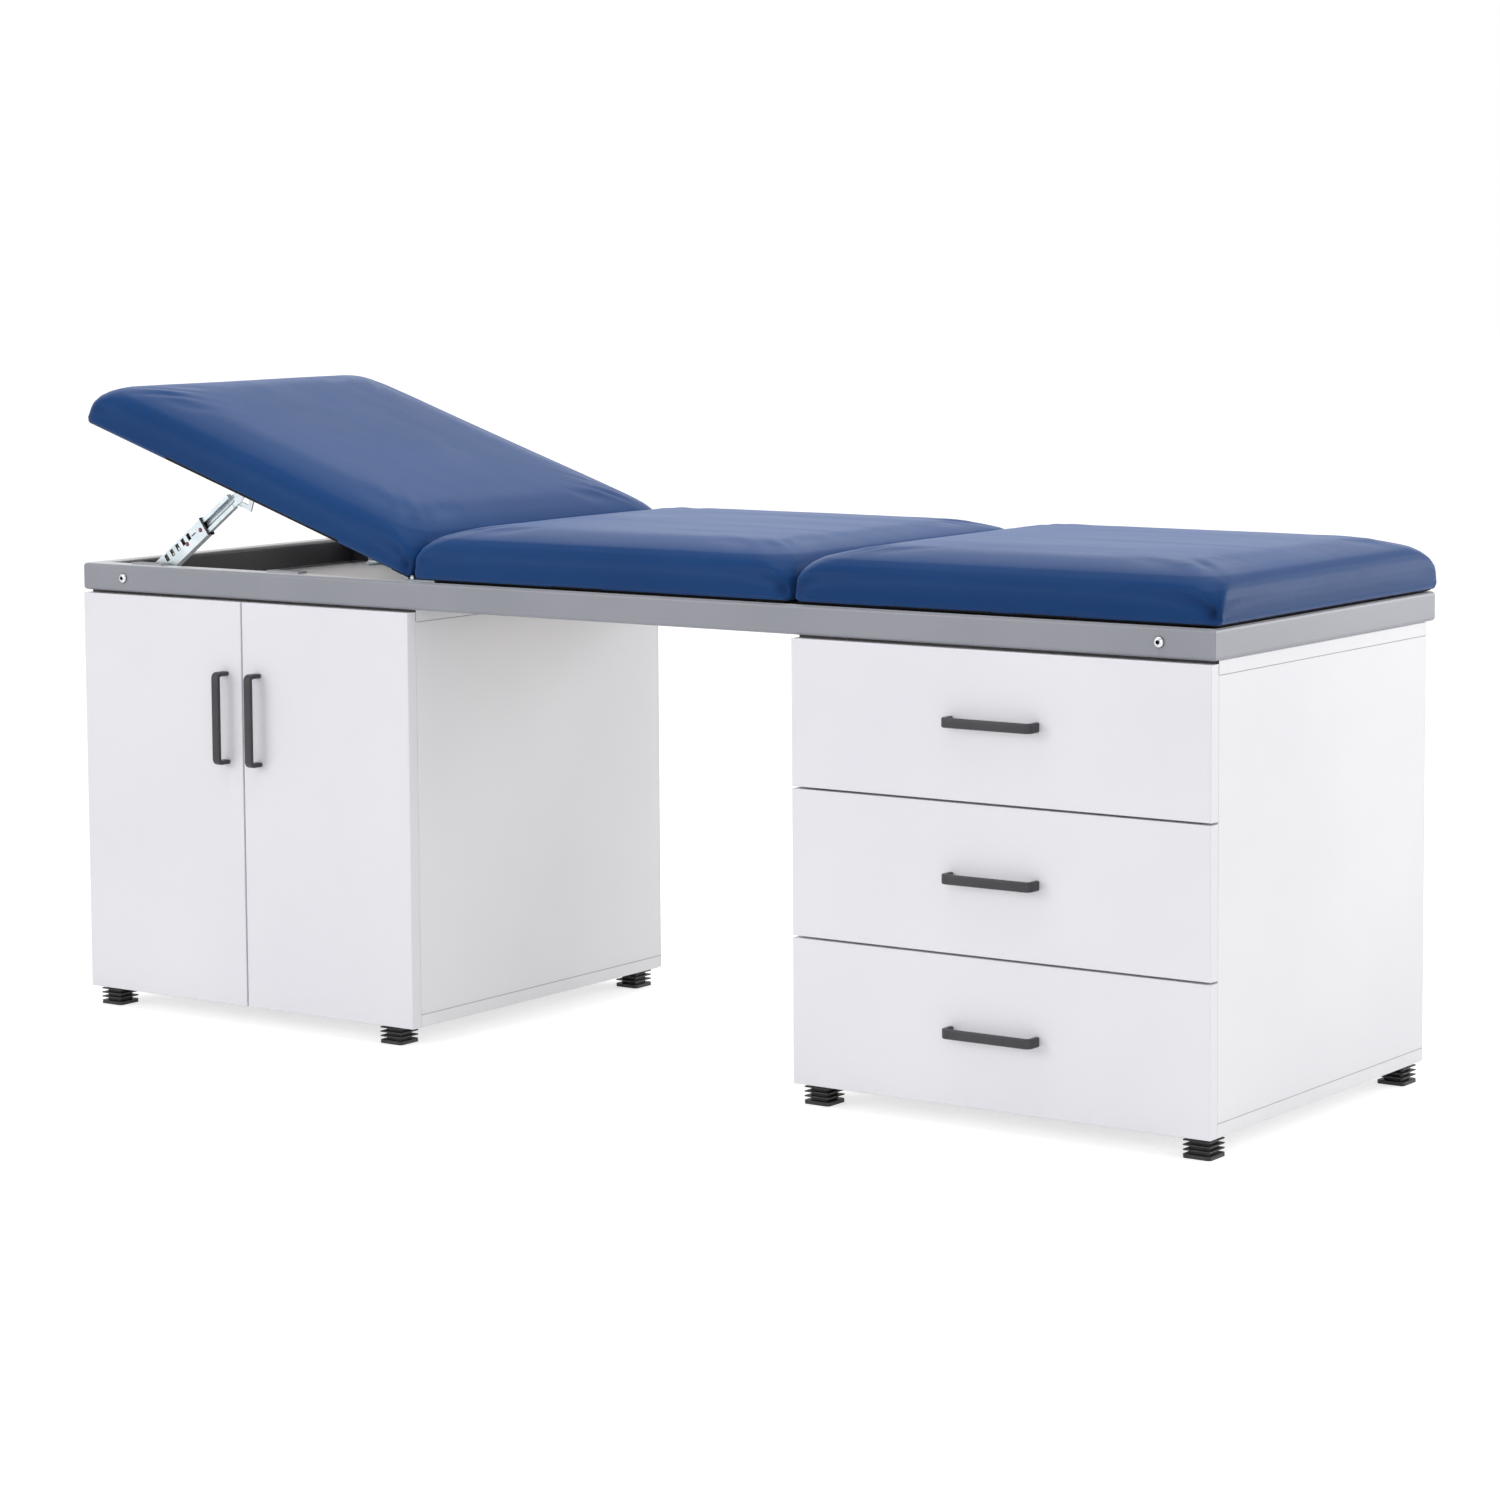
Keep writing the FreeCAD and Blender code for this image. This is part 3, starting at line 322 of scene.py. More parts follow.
def new_material(name, **settings):
    """A material with a Principled shader, its node tree and that shader's inputs."""
    material = bpy.data.materials.new(name)
    tree, surface = fresh_tree(material, "ShaderNodeOutputMaterial")
    shader = tree.nodes.new("ShaderNodeBsdfPrincipled")
    tree.links.new(shader.outputs["BSDF"], surface)
    for label, value in settings.items():
        shader.inputs[label.replace("_", " ")].default_value = value
    return material, tree, shader.inputs


def dress(inputs, colour, gloss, height=None, distance=0.0, strength=0.0):
    """A shader's colour and roughness, and fine relief on its normal if a height is given."""
    plug(colour, inputs["Base Color"])
    plug(gloss, inputs["Roughness"])
    if height is not None:
        relief = new_node("ShaderNodeBump", (height, distance, strength),
                          ("Height", "Distance", "Strength"))
        plug(Value(relief.outputs["Normal"]), inputs["Normal"])


def coat(name, light, dark, patch_scale, dimples, gloss, relief, marks=None, **settings):
    """Two tones that drift, under a fine peel that shows in the gloss and the relief.

    marks paints over it: it takes the tree, the colour, the peel's mask and the roughness,
    and gives back the colour and the roughness.
    """
    material, tree, inputs = new_material(name, **settings)
    colour, drift = use_group(tree, tone_drift, srgb(*light), srgb(*dark), patch_scale)
    height, grit = use_group(tree, fine_peel, *dimples)
    rough = from_noise(grit, *gloss)
    if marks:
        colour, rough = marks(tree, colour, grit, rough)
    dress(inputs, colour, rough, height, *relief)
    return material


def blue_cover():
    """Smooth blue synthetic leather: fine pebbles, faint stretch marks, a soft shine, with painted
    shade in the grain's creases and in the folds at the corners.
    """
    material, tree, inputs = new_material(
        "blue cover", Specular_IOR_Level=0.075, Specular_Tint=(0.8, 0.86, 1.0, 1.0),
        Sheen_Weight=0.25, Sheen_Roughness=0.45, Sheen_Tint=(0.3, 0.48, 1.0, 1.0))
    tones, drift = use_group(tree, tone_drift, srgb(25, 64, 116), srgb(21, 58, 107), 3.5)
    pebbles, crease = use_group(tree, embossed_hide, 620.0, 0.5)
    streaks, lines = use_group(tree, drawn_streaks, (3.0, 26.0, 26.0), 0.42, 0.72)
    streaked = mix_colour(streaks * 0.09, tones, srgb(48, 84, 136))
    # Painted shade: darker blue in the creases between the pebbles of the grain
    crease_shaded = mix_colour(crease * 0.2, streaked, srgb(16, 44, 86))
    # Painted shade: the cover darker blue deep in the corner folds and hollows
    folds = tree.nodes.new("ShaderNodeAttribute")
    folds.attribute_name = "painted fold shade"
    colour = mix_colour(Value(folds.outputs["Fac"]) * 0.85, crease_shaded, srgb(7, 26, 66))
    dress(inputs, colour, from_noise(lines, 0.29, 0.35), pebbles, 0.00012, 0.45)
    return material


def frame_marks(tree, colour, grit, rough):
    """Metal flake, scribed mitres, darker inner faces, a painted highlight on the upper faces and
    edges, and painted shade on the tops under the pads.
    """
    colour = mix_colour(value_range(grit, 0.35, 0.75, 0.0, 0.12), colour, srgb(178, 180, 188))
    x, y, z = own_axes(tree)
    along = x - row_shift.x
    far_x = abs(along)
    far_y = abs(y - row_shift.y)
    tube_width = 30 * MM
    inner_face = tube_width - 0.4 * MM
    inside = (far_y < half_width - inner_face) * (far_x < half_length - inner_face)
    mitre = abs((half_length - far_x) - (half_width - far_y)) < 0.4 * MM
    line = abs(along - bolt_x) < 0.5 * MM
    scribed = math_node("MAXIMUM", mitre * 0.5, line * 0.22)
    colour = mix_colour(scribed, colour, srgb(84, 84, 90))
    # Darker on the faces that look inwards
    colour = mix_colour(inside, colour, srgb(50, 49, 54))
    # Painted highlight: the top faces and the top edges of the rails mixed towards near white
    on_top = z > rail_top - 0.2 * MM
    near_top = z > rail_top - 1.1 * MM
    colour = mix_colour(near_top * 0.4 + on_top * 0.45, colour, srgb(240, 241, 246))
    # Painted shade: the rails' tops under the middle and foot pads near black
    under_pads = along > 4 * MM - cushion_joint
    return mix_colour(on_top * under_pads, colour, srgb(26, 26, 29)), rough


def board_marks(tree, colour, grit, rough):
    """Dust near the floor, thin lines at the carcass joints, an unbanded edge over the fronts,
    darkened as painted shade for the gap there.
    """
    dusty = use_group(tree, floor_dust, 0.075, 45.0)[0] * 0.14
    colour = mix_colour(dusty, colour, srgb(196, 192, 186))
    x, y, z = own_axes(tree)
    behind = y - (board_front + row_shift.y)
    off_joint = math_node("MINIMUM", abs(z - top_joint), abs(z - bottom_joint))
    joint = (off_joint < 0.6 * MM) * (behind > 0.6 * MM)
    colour = mix_colour(joint * 0.6, colour, srgb(120, 120, 126))
    # An unbanded edge, darkened as painted shade for the gap between the fronts and the frame
    unbanded_edge_and_shade = (behind < 0.3 * MM) * (behind > -0.4 * MM) * (z > top_joint + 1 * MM)
    return mix_colour(unbanded_edge_and_shade, colour, srgb(58, 52, 48)), rough + dusty


def white_board(name, light, dark, gloss):
    """White melamine with the fine pearl of its pressed surface."""
    return coat(name, light, dark, 2.5, (900.0, 0.5), gloss, (0.00005, 0.4), board_marks)


def handle_marks(tree, colour, grit, rough):
    """Rubbed a little paler in places."""
    return mix_colour(value_range(grit, 0.5, 0.8, 0.0, 0.2), colour, srgb(74, 74, 80)), rough


def glide_marks(tree, colour, grit, rough):
    """Dusty near the floor."""
    dusty = use_group(tree, floor_dust, 0.02, 160.0)[0] * 0.16
    return mix_colour(dusty, colour, srgb(120, 118, 114)), rough


def rubber_marks(tree, colour, grit, rough):
    """Pale grey at the head end, where the pads show."""
    at_head = own_axes(tree)[0] < -400 * MM
    return mix_colour(at_head, colour, srgb(168, 169, 176)), rough


def along_strut(tree):
    """How far a point lies up the leaning strut from its foot pin, and across it."""
    away = vector_node("SUBTRACT", "Vector", own_place(tree), strut_foot)
    up = (math.cos(strut_rise), 0, math.sin(strut_rise))
    across = (-math.sin(strut_rise), 0, math.cos(strut_rise))
    return [vector_node("DOT_PRODUCT", "Value", away, way) for way in (up, across)]


def channel_black(tree):
    """The channel's black end collar, and painted shade in and around its ratchet windows."""
    window_shade_reach = 3.3 * MM
    window_shade_width = 5.4 * MM
    up, across = along_strut(tree)
    collar = (up > channel_length - 2.6 * MM) * (up < channel_length + 2 * MM)
    start = window_start - window_pitch / 2
    off_window = abs(math_node("FRACT", (up - start) / window_pitch) - 0.5)
    # Painted shade in and around each ratchet window
    window_shade = ((off_window < window_shade_reach / window_pitch)
             * (abs(across - window_offset) < window_shade_width))
    in_reach = (up > start) * (up < start + window_count * window_pitch)
    return math_node("MAXIMUM", collar, window_shade * in_reach)


def slide_black(tree):
    """Painted shade on the part of the slide that runs inside the channel."""
    return along_strut(tree)[0] < channel_length - 1 * MM


def bright_zinc(name, light, dark, tint, black=None):
    """Plated steel, streaked along its length, with a warm tint in places.

    black gives the mask of where it is painted black: the channel's collar, and painted shade.
    """
    material, tree, inputs = new_material(name, Metallic=0.7)
    tones, drift = use_group(tree, tone_drift, srgb(*light), srgb(*dark), 40.0)
    streaks, lines = use_group(tree, drawn_streaks, (40.0, 900.0, 900.0), 0.4, 0.7)
    colour = mix_colour(streaks * 0.3, tones, srgb(*tint))
    if black:
        mask = black(tree)
        colour = mix_colour(mask, colour, srgb(26, 27, 30))
        plug(value_range(mask, 0.0, 1.0, 0.7, 0.0), inputs["Metallic"])
    dress(inputs, colour, from_noise(lines, 0.28, 0.42), lines, 0.00003, 0.4)
    return material


def plywood():
    """Birch plywood: long grain on the faces, dark pores along it."""
    material, tree, inputs = new_material("plywood")
    grain, grain_lines = use_group(tree, drawn_streaks, (9.0, 130.0, 500.0), 0.35, 0.7)
    pores, pore_lines = use_group(tree, drawn_streaks, (60.0, 1400.0, 1400.0), 0.6, 0.75)
    wood = mix_colour(grain, srgb(204, 194, 178), srgb(182, 170, 152))
    colour = mix_colour(pores * 0.4, wood, srgb(132, 118, 102))
    dress(inputs, colour, from_noise(grain_lines, 0.62, 0.78), pore_lines, 0.0001, 0.4)
    return material


def red_lacquer():
    """Red lacquer on the rivets of the ratchet."""
    material, tree, inputs = new_material("red lacquer")
    colour, drift = use_group(tree, tone_drift, srgb(140, 18, 34), srgb(98, 10, 22), 400.0)
    dress(inputs, colour, value_range(drift, 0.0, 1.0, 0.3, 0.45))
    return material


def polished_bolt():
    """Polished steel dome with painted shade in its socket and a painted shadow ring where it meets
    the rail.
    """
    material, tree, inputs = new_material("polished bolt", Metallic=0.9)
    streaks, lines = use_group(tree, drawn_streaks, (300.0, 300.0, 300.0), 0.3, 0.7)
    x, y, z = own_axes(tree)
    off_x = abs(x - row_shift.x) - bolt_x
    off_z = z - rail_middle
    reach = math_node("SQRT", off_x * off_x + off_z * off_z)
    # Painted shade in the socket and a painted shadow ring round the rim
    socket = value_range(reach, 2.6 * MM, 3.1 * MM, 1.0, 0.0)
    rim = value_range(reach, 6.3 * MM, 7.3 * MM, 0.0, 0.75)
    metal = mix_colour(streaks, srgb(214, 215, 219), srgb(196, 198, 204))
    colour = mix_colour(math_node("MAXIMUM", socket, rim), metal, srgb(34, 34, 38))
    dress(inputs, colour, from_noise(lines, 0.14, 0.24))
    return material


zinc_tones = ((226, 236, 242), (200, 212, 220), (218, 214, 200))
finishes = {
    "blue_cover": blue_cover(),
    "frame_paint": coat("grey paint", (144, 145, 154), (137, 139, 148), 5.0, (420.0, 0.4),
                        (0.28, 0.36), (0.00008, 0.5), frame_marks),
    "white_board": white_board("white board", (238, 238, 241), (232, 232, 236), (0.36, 0.48)),
    "white_front": white_board("white front", (234, 234, 239), (229, 229, 235), (0.3, 0.42)),
    "thin_panel": white_board("thin panel", (226, 226, 229), (219, 219, 223), (0.5, 0.62)),
    "black_handle": coat("black handle", (46, 46, 51), (36, 36, 40), 30.0, (1100.0, 0.6),
                         (0.34, 0.46), (0.00005, 0.5), handle_marks),
    "black_glide": coat("black plastic", (30, 30, 34), (21, 21, 24), 60.0, (700.0, 0.8),
                        (0.42, 0.6), (0.0001, 0.6), glide_marks),
    "zinc_fitting": bright_zinc("bright zinc", *zinc_tones),
    "hinge_steel": bright_zinc("nickel", (222, 221, 218), (196, 196, 195), (232, 230, 226)),
    "runner_paint": coat("runner coat", (232, 232, 230), (222, 222, 220), 20.0, (600.0, 0.3),
                         (0.3, 0.4), (0.00006, 0.4)),
    "plywood": plywood(),
    "black_rubber": coat("black rubber", (40, 40, 41), (26, 26, 27), 80.0, (900.0, 0.9),
                         (0.7, 0.88), (0.0001, 0.5), rubber_marks),
}
# Black underside cloth, which also stands in as painted shade in the gap between the cushions and
# the rails
lining_and_shade_finish = coat("black lining and gap shade", (34, 34, 37), (20, 20, 23), 60.0, (1500.0, 0.9),
                     (0.8, 0.95), (0.0002, 0.6), Specular_IOR_Level=0.2)
red_finish = red_lacquer()
bolt_finish = polished_bolt()
channel_finish = bright_zinc("channel zinc", *zinc_tones, channel_black)
slide_finish = bright_zinc("slide zinc", *zinc_tones, slide_black)
# A darker copy of the zinc for the hinge leaves: painted shade, where they sit in the gap under the
# cushions
leaf_finish = bright_zinc("shaded zinc", (140, 147, 154), (118, 125, 132), (146, 144, 138))


def give_finish(piece, finish):
    """Only this finish on a piece."""
    piece.data.materials.clear()
    piece.data.materials.append(finish)


for entry in frame["record"]["subparts"]:
    give_finish(nodes[entry["node"]], finishes[entry["material_slot"]])
for name, finish in (
        ("front_strut_channel", channel_finish), ("back_strut_channel", channel_finish),
        ("front_strut_slide", slide_finish), ("back_strut_slide", slide_finish),
        ("head_hinge_fixed_leaves", leaf_finish), ("head_hinge_moving_leaves", leaf_finish)):
    give_finish(nodes[name], finish)


# Working with the modelling operators


def object_mode():
    """Out of edit mode."""
    bpy.ops.object.mode_set(mode="OBJECT")


def edit_mode(all_selected=False):
    """Into edit mode, with the selection as it is or everything selected."""
    bpy.ops.object.mode_set(mode="EDIT")
    if all_selected:
        bpy.ops.mesh.select_all(action="SELECT")


def extrude(x, y, z):
    """Draw the selected faces out by a step."""
    bpy.ops.mesh.extrude_region_move(TRANSFORM_OT_translate={"value": (x, y, z)})


def deselect_all():
    """Nothing selected, in object mode."""
    if bpy.context.object and bpy.context.object.mode != "OBJECT":
        object_mode()
    bpy.ops.object.select_all(action="DESELECT")


def make_active(piece):
    """Only this piece selected and active."""
    deselect_all()
    piece.select_set(True)
    bpy.context.view_layer.objects.active = piece


def settle(piece, scale):
    """Scale the piece, and put its place, turn and scale into its mesh."""
    piece.scale = scale
    make_active(piece)
    bpy.ops.object.transform_apply(location=True, rotation=True, scale=True)


def apply_modifiers(piece):
    """Apply every modifier, in order."""
    make_active(piece)
    for name in [modifier.name for modifier in piece.modifiers]:
        bpy.ops.object.modifier_apply(modifier=name)


def add_modifier(piece, kind, **settings):
    """A modifier with its settings."""
    set_all(piece.modifiers.new(kind.lower(), kind), **settings)


def read_rows(items, label):
    """A point or direction of each vertex or face, one row each."""
    rows = np.empty(len(items) * 3)
    items.foreach_get(label, rows)
    return rows.reshape(-1, 3)


def read_points(piece, middle):
    """The mesh's points from a given middle."""
    return read_rows(piece.data.vertices, "co") - np.array(middle)


def write_points(piece, points, middle):
    """Put the points back into the mesh."""
    piece.data.vertices.foreach_set("co", (points + np.array(middle)).ravel())
    piece.data.update()


def edit_faces(piece, test):
    """Into edit mode with only the faces selected whose middles pass a test."""
    make_active(piece)
    mesh = piece.data
    chosen = test(read_rows(mesh.polygons, "center"))
    mesh.vertices.foreach_set("select", np.zeros(len(mesh.vertices), dtype=bool))
    mesh.edges.foreach_set("select", np.zeros(len(mesh.edges), dtype=bool))
    mesh.polygons.foreach_set("select", chosen)
    scene.tool_settings.mesh_select_mode = (False, False, True)
    edit_mode()


def close_and_turn_out(piece):
    """Merge doubles and point every face outwards."""
    make_active(piece)
    edit_mode(True)
    bpy.ops.mesh.remove_doubles(threshold=1e-6)
    bpy.ops.mesh.normals_make_consistent(inside=False)
    object_mode()


def finish_piece(piece, name, body, slot, smooth_angle, finish=None):
    """Name, shading, finish and body of a new piece."""
    piece.name = name
    make_active(piece)
    bpy.ops.object.shade_smooth_by_angle(angle=math.radians(smooth_angle))
    give_finish(piece, finish or finishes[slot])
    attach(piece, body)


def spread(pattern, name, body, slot, turns, finish=None):
    """A copy of the pattern for each place and turn, as one piece on a body."""
    deselect_all()
    made = []
    for turn in turns:
        mesh = pattern.data.copy()
        mesh.transform(turn)
        made.append(bpy.data.objects.new(name, mesh))
        scene.collection.objects.link(made[-1])
        made[-1].select_set(True)
    bpy.context.view_layer.objects.active = made[0]
    if len(made) > 1:
        bpy.ops.object.join()
    piece = bpy.context.object
    finish_piece(piece, name, body, slot, 35, finish)
    return piece


def facing(place, outward):
    """The turn that stands a pattern's +Z along a direction, at a place of the centred frame."""
    turn = Vector(outward).to_track_quat("Z", "Y").to_matrix().to_4x4()
    return Matrix.Translation(Vector(place) + row_shift) @ turn


# The turn of the head section from flat to the photographed pose
head_lift = (Matrix.Translation(hinge_point) @ Matrix.Rotation(head_angle, 4, "Y")
             @ Matrix.Translation(-hinge_point))


# Cushions, whose sides, crowns and overhangs follow the photograph more closely than the solids

head_overhang = 26 * MM
foot_overhang = 6.5 * MM
foot_edge = 8 * MM
corner_radius = 10 * MM
corner_growth = 0.3
corner_rise = 0.38
# Height above the underside, and how far the side has turned in there
side_profile = [(height * MM, inset * MM) for height, inset in (
    (8, 0), (20, 0), (32, 0.8), (42, 4.2), (50, 9.4), (57, 16), (62, 23), (66.5, 31.5),
    (69.5, 41), (71.3, 54), (72.4, 73))]
# The same for the crown, turned in by shares of the half width
crown_profile = ((73.2 * MM, 0.36), (74 * MM, 0.5), (74.4 * MM, 0.7))
pad_height = 74.4 * MM
straight_height = 40 * MM
inflate_room = 2.0 * MM
crown_room = 4.0 * MM
inflate_cap = 4.0 * MM
inflate_frames = 20
wave_depth = 0.5 * MM
pull_depth = 0.3 * MM
voxel = 7.5 * MM
firm_share = 0.94
firm_reach = 38 * MM
firm_fade = 26 * MM
draw_share = 0.005
board_inset = 12 * MM
cover_margin = 34 * MM
cover_sheet = 1 * MM
pocket_height = 13.6 * MM


def raised(height, top):
    """A height of the profile on a cushion that is this high at its crown."""
    growth = (top - straight_height) / (pad_height - straight_height)
    upper = straight_height + (height - straight_height) * growth
    return np.where(height < straight_height, height, upper)


def ring_radius(height, inset):
    """The corners grow rounder towards the crown."""
    return corner_radius + corner_rise * np.maximum(height - foot_edge, 0) + corner_growth * inset


def profile_steps(half_y, top):
    """Height, inset and corner radius of each ring, from the stapled edge to the crown."""
    steps = []
    for turn in (-90, -60, -30):
        angle = math.radians(turn)
        inset = foot_edge * (1 - math.cos(angle))
        steps.append((foot_edge * (1 + math.sin(angle)), inset, corner_radius - inset / 2))
    crown = [(height, half_y * share) for height, share in crown_profile]
    for height, inset in side_profile + crown:
        steps.append((float(raised(height, top)), inset, float(ring_radius(height, inset))))
    return steps


def cushion_blank(half_x, half_y, middle, top):
    """A plan outline raised ring by ring, then each ring drawn to its place on the profile."""
    deselect_all()
    bpy.ops.mesh.primitive_plane_add(size=2, location=middle)
    blank = bpy.context.object
    settle(blank, (half_x, half_y, 1))
    steps = profile_steps(half_y, top)
    edit_mode(True)
    bpy.ops.mesh.bevel(offset=corner_radius, segments=8, affect="VERTICES")
    for low, high in zip(steps, steps[1:]):
        extrude(0, 0, high[0] - low[0])
    object_mode()
    squeeze = (top - crown_room) / top
    for vertex in blank.data.vertices:
        place = vertex.co - middle
        height, inset, radius = min(steps, key=lambda step: abs(step[0] - place.z))
        turn = math.atan2(abs(place.y) - (half_y - corner_radius),
                          abs(place.x) - (half_x - corner_radius))
        reach_x = half_x - inset - radius + radius * math.cos(turn)
        reach_y = half_y - inset - radius + radius * math.sin(turn)
        vertex.co.x = middle.x + math.copysign(reach_x, place.x)
        vertex.co.y = middle.y + math.copysign(reach_y, place.y)
        vertex.co.z = middle.z + height * squeeze
    close_and_turn_out(blank)
    return blank


def point_group(piece, name, chosen):
    """A vertex group of the chosen points."""
    group = piece.vertex_groups.new(name=name)
    group.add([int(index) for index in np.nonzero(chosen)[0]], 1.0, "REPLACE")


def even_mesh(piece, middle):
    """Even small faces all over, with the voxel steps smoothed out above the stapled edge."""
    piece.data.remesh_voxel_size = voxel
    make_active(piece)
    bpy.ops.object.voxel_remesh()
    point_group(piece, "soft", read_points(piece, middle)[:, 2] > 4 * MM)
    add_modifier(piece, "SMOOTH", factor=0.5, iterations=8, vertex_group="soft")
    apply_modifiers(piece)
    piece.vertex_groups.clear()


def inflate(piece, middle):
    """Blow the cover up a little against its stapled lower edge, then limit the swelling."""
    start = read_points(piece, middle)
    point_group(piece, "stapled edge", start[:, 2] < 6 * MM)
    make_active(piece)
    bpy.ops.object.modifier_add(type="CLOTH")
    cloth = piece.modifiers[-1]
    set_all(cloth.settings, quality=4, mass=0.3, tension_stiffness=15,
            compression_stiffness=15, bending_stiffness=0.8, use_pressure=True,
            uniform_pressure_force=4, vertex_group_mass="stapled edge")
    cloth.settings.effector_weights.gravity = 0
    cloth.collision_settings.use_collision = False
    for step in range(1, inflate_frames + 1):
        scene.frame_set(step)
    apply_modifiers(piece)
    scene.frame_set(1)
    move = read_points(piece, middle) - start
    length = np.linalg.norm(move, axis=1)
    share = np.minimum(1.0, inflate_cap / np.maximum(length, 1e-9))
    write_points(piece, start + move * share[:, None], middle)
    piece.vertex_groups.clear()


def stretch_waves(piece, middle, seed):
    """Faint hollows where the cover is pulled over the foam, strongest low on the sides."""
    for vertex in piece.data.vertices:
        place = vertex.co - middle
        rise = place.z / pad_height
        if rise < 0.02:
            continue
        broad = noise.noise(Vector((place.x * 7, place.y * 7, seed)))
        pull = noise.noise(Vector((place.x * 22, place.y * 22, seed * 3 + place.z * 8)))
        low = max(0.0, 1 - abs(rise - 0.25) / 0.3)
        vertex.co += vertex.normal * (broad * wave_depth + pull * low * pull_depth)


def outline_at(points, half_x, half_y, drawn_in=0.0, radius=corner_radius):
    """How far inside the cushion's rounded outline each point lies, and which way is out."""
    reach_x = np.abs(points[:, 0]) - (half_x - drawn_in - radius)
    reach_y = np.abs(points[:, 1]) - (half_y - drawn_in - radius)
    past_x = np.maximum(reach_x, 0)
    past_y = np.maximum(reach_y, 0)
    past = np.hypot(past_x, past_y)
    inset = radius - past - np.minimum(np.maximum(reach_x, reach_y), 0)
    on_corner = past > 1e-9
    safe = np.maximum(past, 1e-9)
    out_x = np.where(on_corner, past_x / safe, reach_x > reach_y)
    out_y = np.where(on_corner, past_y / safe, reach_x <= reach_y)
    outward = np.stack((out_x * np.sign(points[:, 0]), out_y * np.sign(points[:, 1])), axis=1)
    return inset, outward


def firm_sides(points, half_x, half_y, top):
    """A flat underside, an evenly turned lower edge, and sides drawn firm up to the shoulder."""
    inset, outward = outline_at(points, half_x, half_y)
    height = points[:, 2].copy()
    edge_out = foot_edge - inset
    edge_down = foot_edge - height
    turned = (edge_out > 0) & (edge_down > 0)
    scale = np.where(turned, foot_edge / np.maximum(np.hypot(edge_out, edge_down), 1e-6), 1)
    points[:, :2] += outward * (edge_out * (scale - 1))[:, None]
    points[:, 2] = np.where(turned, foot_edge - edge_down * scale, height)
    flat = ~turned & (height < 3 * MM)
    points[:, 2] = np.where(flat, 0, points[:, 2])
    steps = [float(raised(step[0], top)) for step in side_profile]
    wanted = np.interp(height, steps, [step[1] for step in side_profile])
    gap, outward = outline_at(points, half_x, half_y, wanted, ring_radius(height, wanted))
    near = np.clip((firm_reach - np.abs(gap)) / firm_fade, 0, 1) * ~turned * ~flat
    shoulder = (steps[-1] - 15 * MM, steps[-1] - 1 * MM)
    weight = np.interp(height, shoulder, (firm_share, 0.0)) * near
    points[:, :2] += outward * (gap * weight)[:, None]


def draw_in_sides(points, half_x, half_y):
    """Sides pull in a little between the corners."""
    share_x = points[:, 0] / half_x
    share_y = points[:, 1] / half_y
    points[:, 1] *= 1 - draw_share * (1 - share_x * share_x)
    points[:, 0] *= 1 - draw_share * (1 - share_y * share_y)


# Fold at a corner, on the long side and on the end: its height at the corner, how much it
# climbs, over what length, its depth, and how far it reaches
long_side_fold = (15 * MM, 25 * MM, 42 * MM, 5.0 * MM, 62 * MM)
end_side_fold = (12 * MM, 18 * MM, 40 * MM, 1.8 * MM, 60 * MM)
fold_width = 8 * MM
fold_reach = 26 * MM
fold_fade = 18 * MM
ridge_above = 17 * MM
ridge_width = 10 * MM
ridge_share = 0.3
# Hollow at a corner: how deep, how far along the long side, how high, and its two widths
hollow_depth = 4.5 * MM
hollow_along = -9 * MM
hollow_height = 14 * MM
hollow_length = 9 * MM
hollow_width = 8 * MM
# Upright gather beside it, on the end's side of the corner
gather_depth = 1.0 * MM
gather_along = 6 * MM
gather_width = 5 * MM
gather_height = 36 * MM
tuck_height = 28 * MM
tuck_depth = 1.5 * MM
lining_drop = 2.4 * MM


def bell(value, middle, width):
    """A soft bump of height 1."""
    return np.exp(-((value - middle) / width) ** 2)


def fold_corners(points, half_x, half_y, folds):
    """The cover tucked under all round, with a soft fold rising from a hollow at each corner.

    Gives back how deep in a fold each point lies, from 0 to 1, which the cover's colour darkens by
    as painted shade.
    """
    inset, outward = outline_at(points, half_x, half_y)
    height = points[:, 2]
    near = np.clip((fold_reach - inset) / fold_fade, 0, 1)
    turn = (half_y - np.abs(points[:, 1])) - (half_x - np.abs(points[:, 0]))
    on_long = 1 / (1 + np.exp(np.clip(turn / (4 * MM), -30, 30)))
    start, climb, length, depth, reach = [
        end_value + (long_value - end_value) * on_long
        for long_value, end_value in zip(long_side_fold, end_side_fold)]
    quarter = (points[:, 0] > 0) * 2 + (points[:, 1] > 0)
    strength = np.array(folds)[quarter]
    far = np.abs(turn)
    line = start + climb * (1 - np.exp(-far / length))
    fade = np.exp(-far / reach)
    valley = fade * bell(height, line, fold_width)
    hollow = bell(turn, hollow_along, hollow_length) * bell(height, hollow_height, hollow_width)
    push = -depth * valley - hollow_depth * hollow
    push += ridge_share * depth * fade * bell(height, line + ridge_above, ridge_width)
    upright = np.clip(1 - height / gather_height, 0, 1) ** 0.8
    push += gather_depth * bell(turn, gather_along, gather_width) * upright
    push *= strength
    push -= tuck_depth * np.clip(1 - height / tuck_height, 0, 1) ** 2
    points[:, :2] += outward * (push * near)[:, None]
    # The share of painted shade for the cover's colour, deepest in the folds and hollows
    return np.clip((0.45 * valley * on_long + 0.75 * hollow) * strength * near, 0, 1)


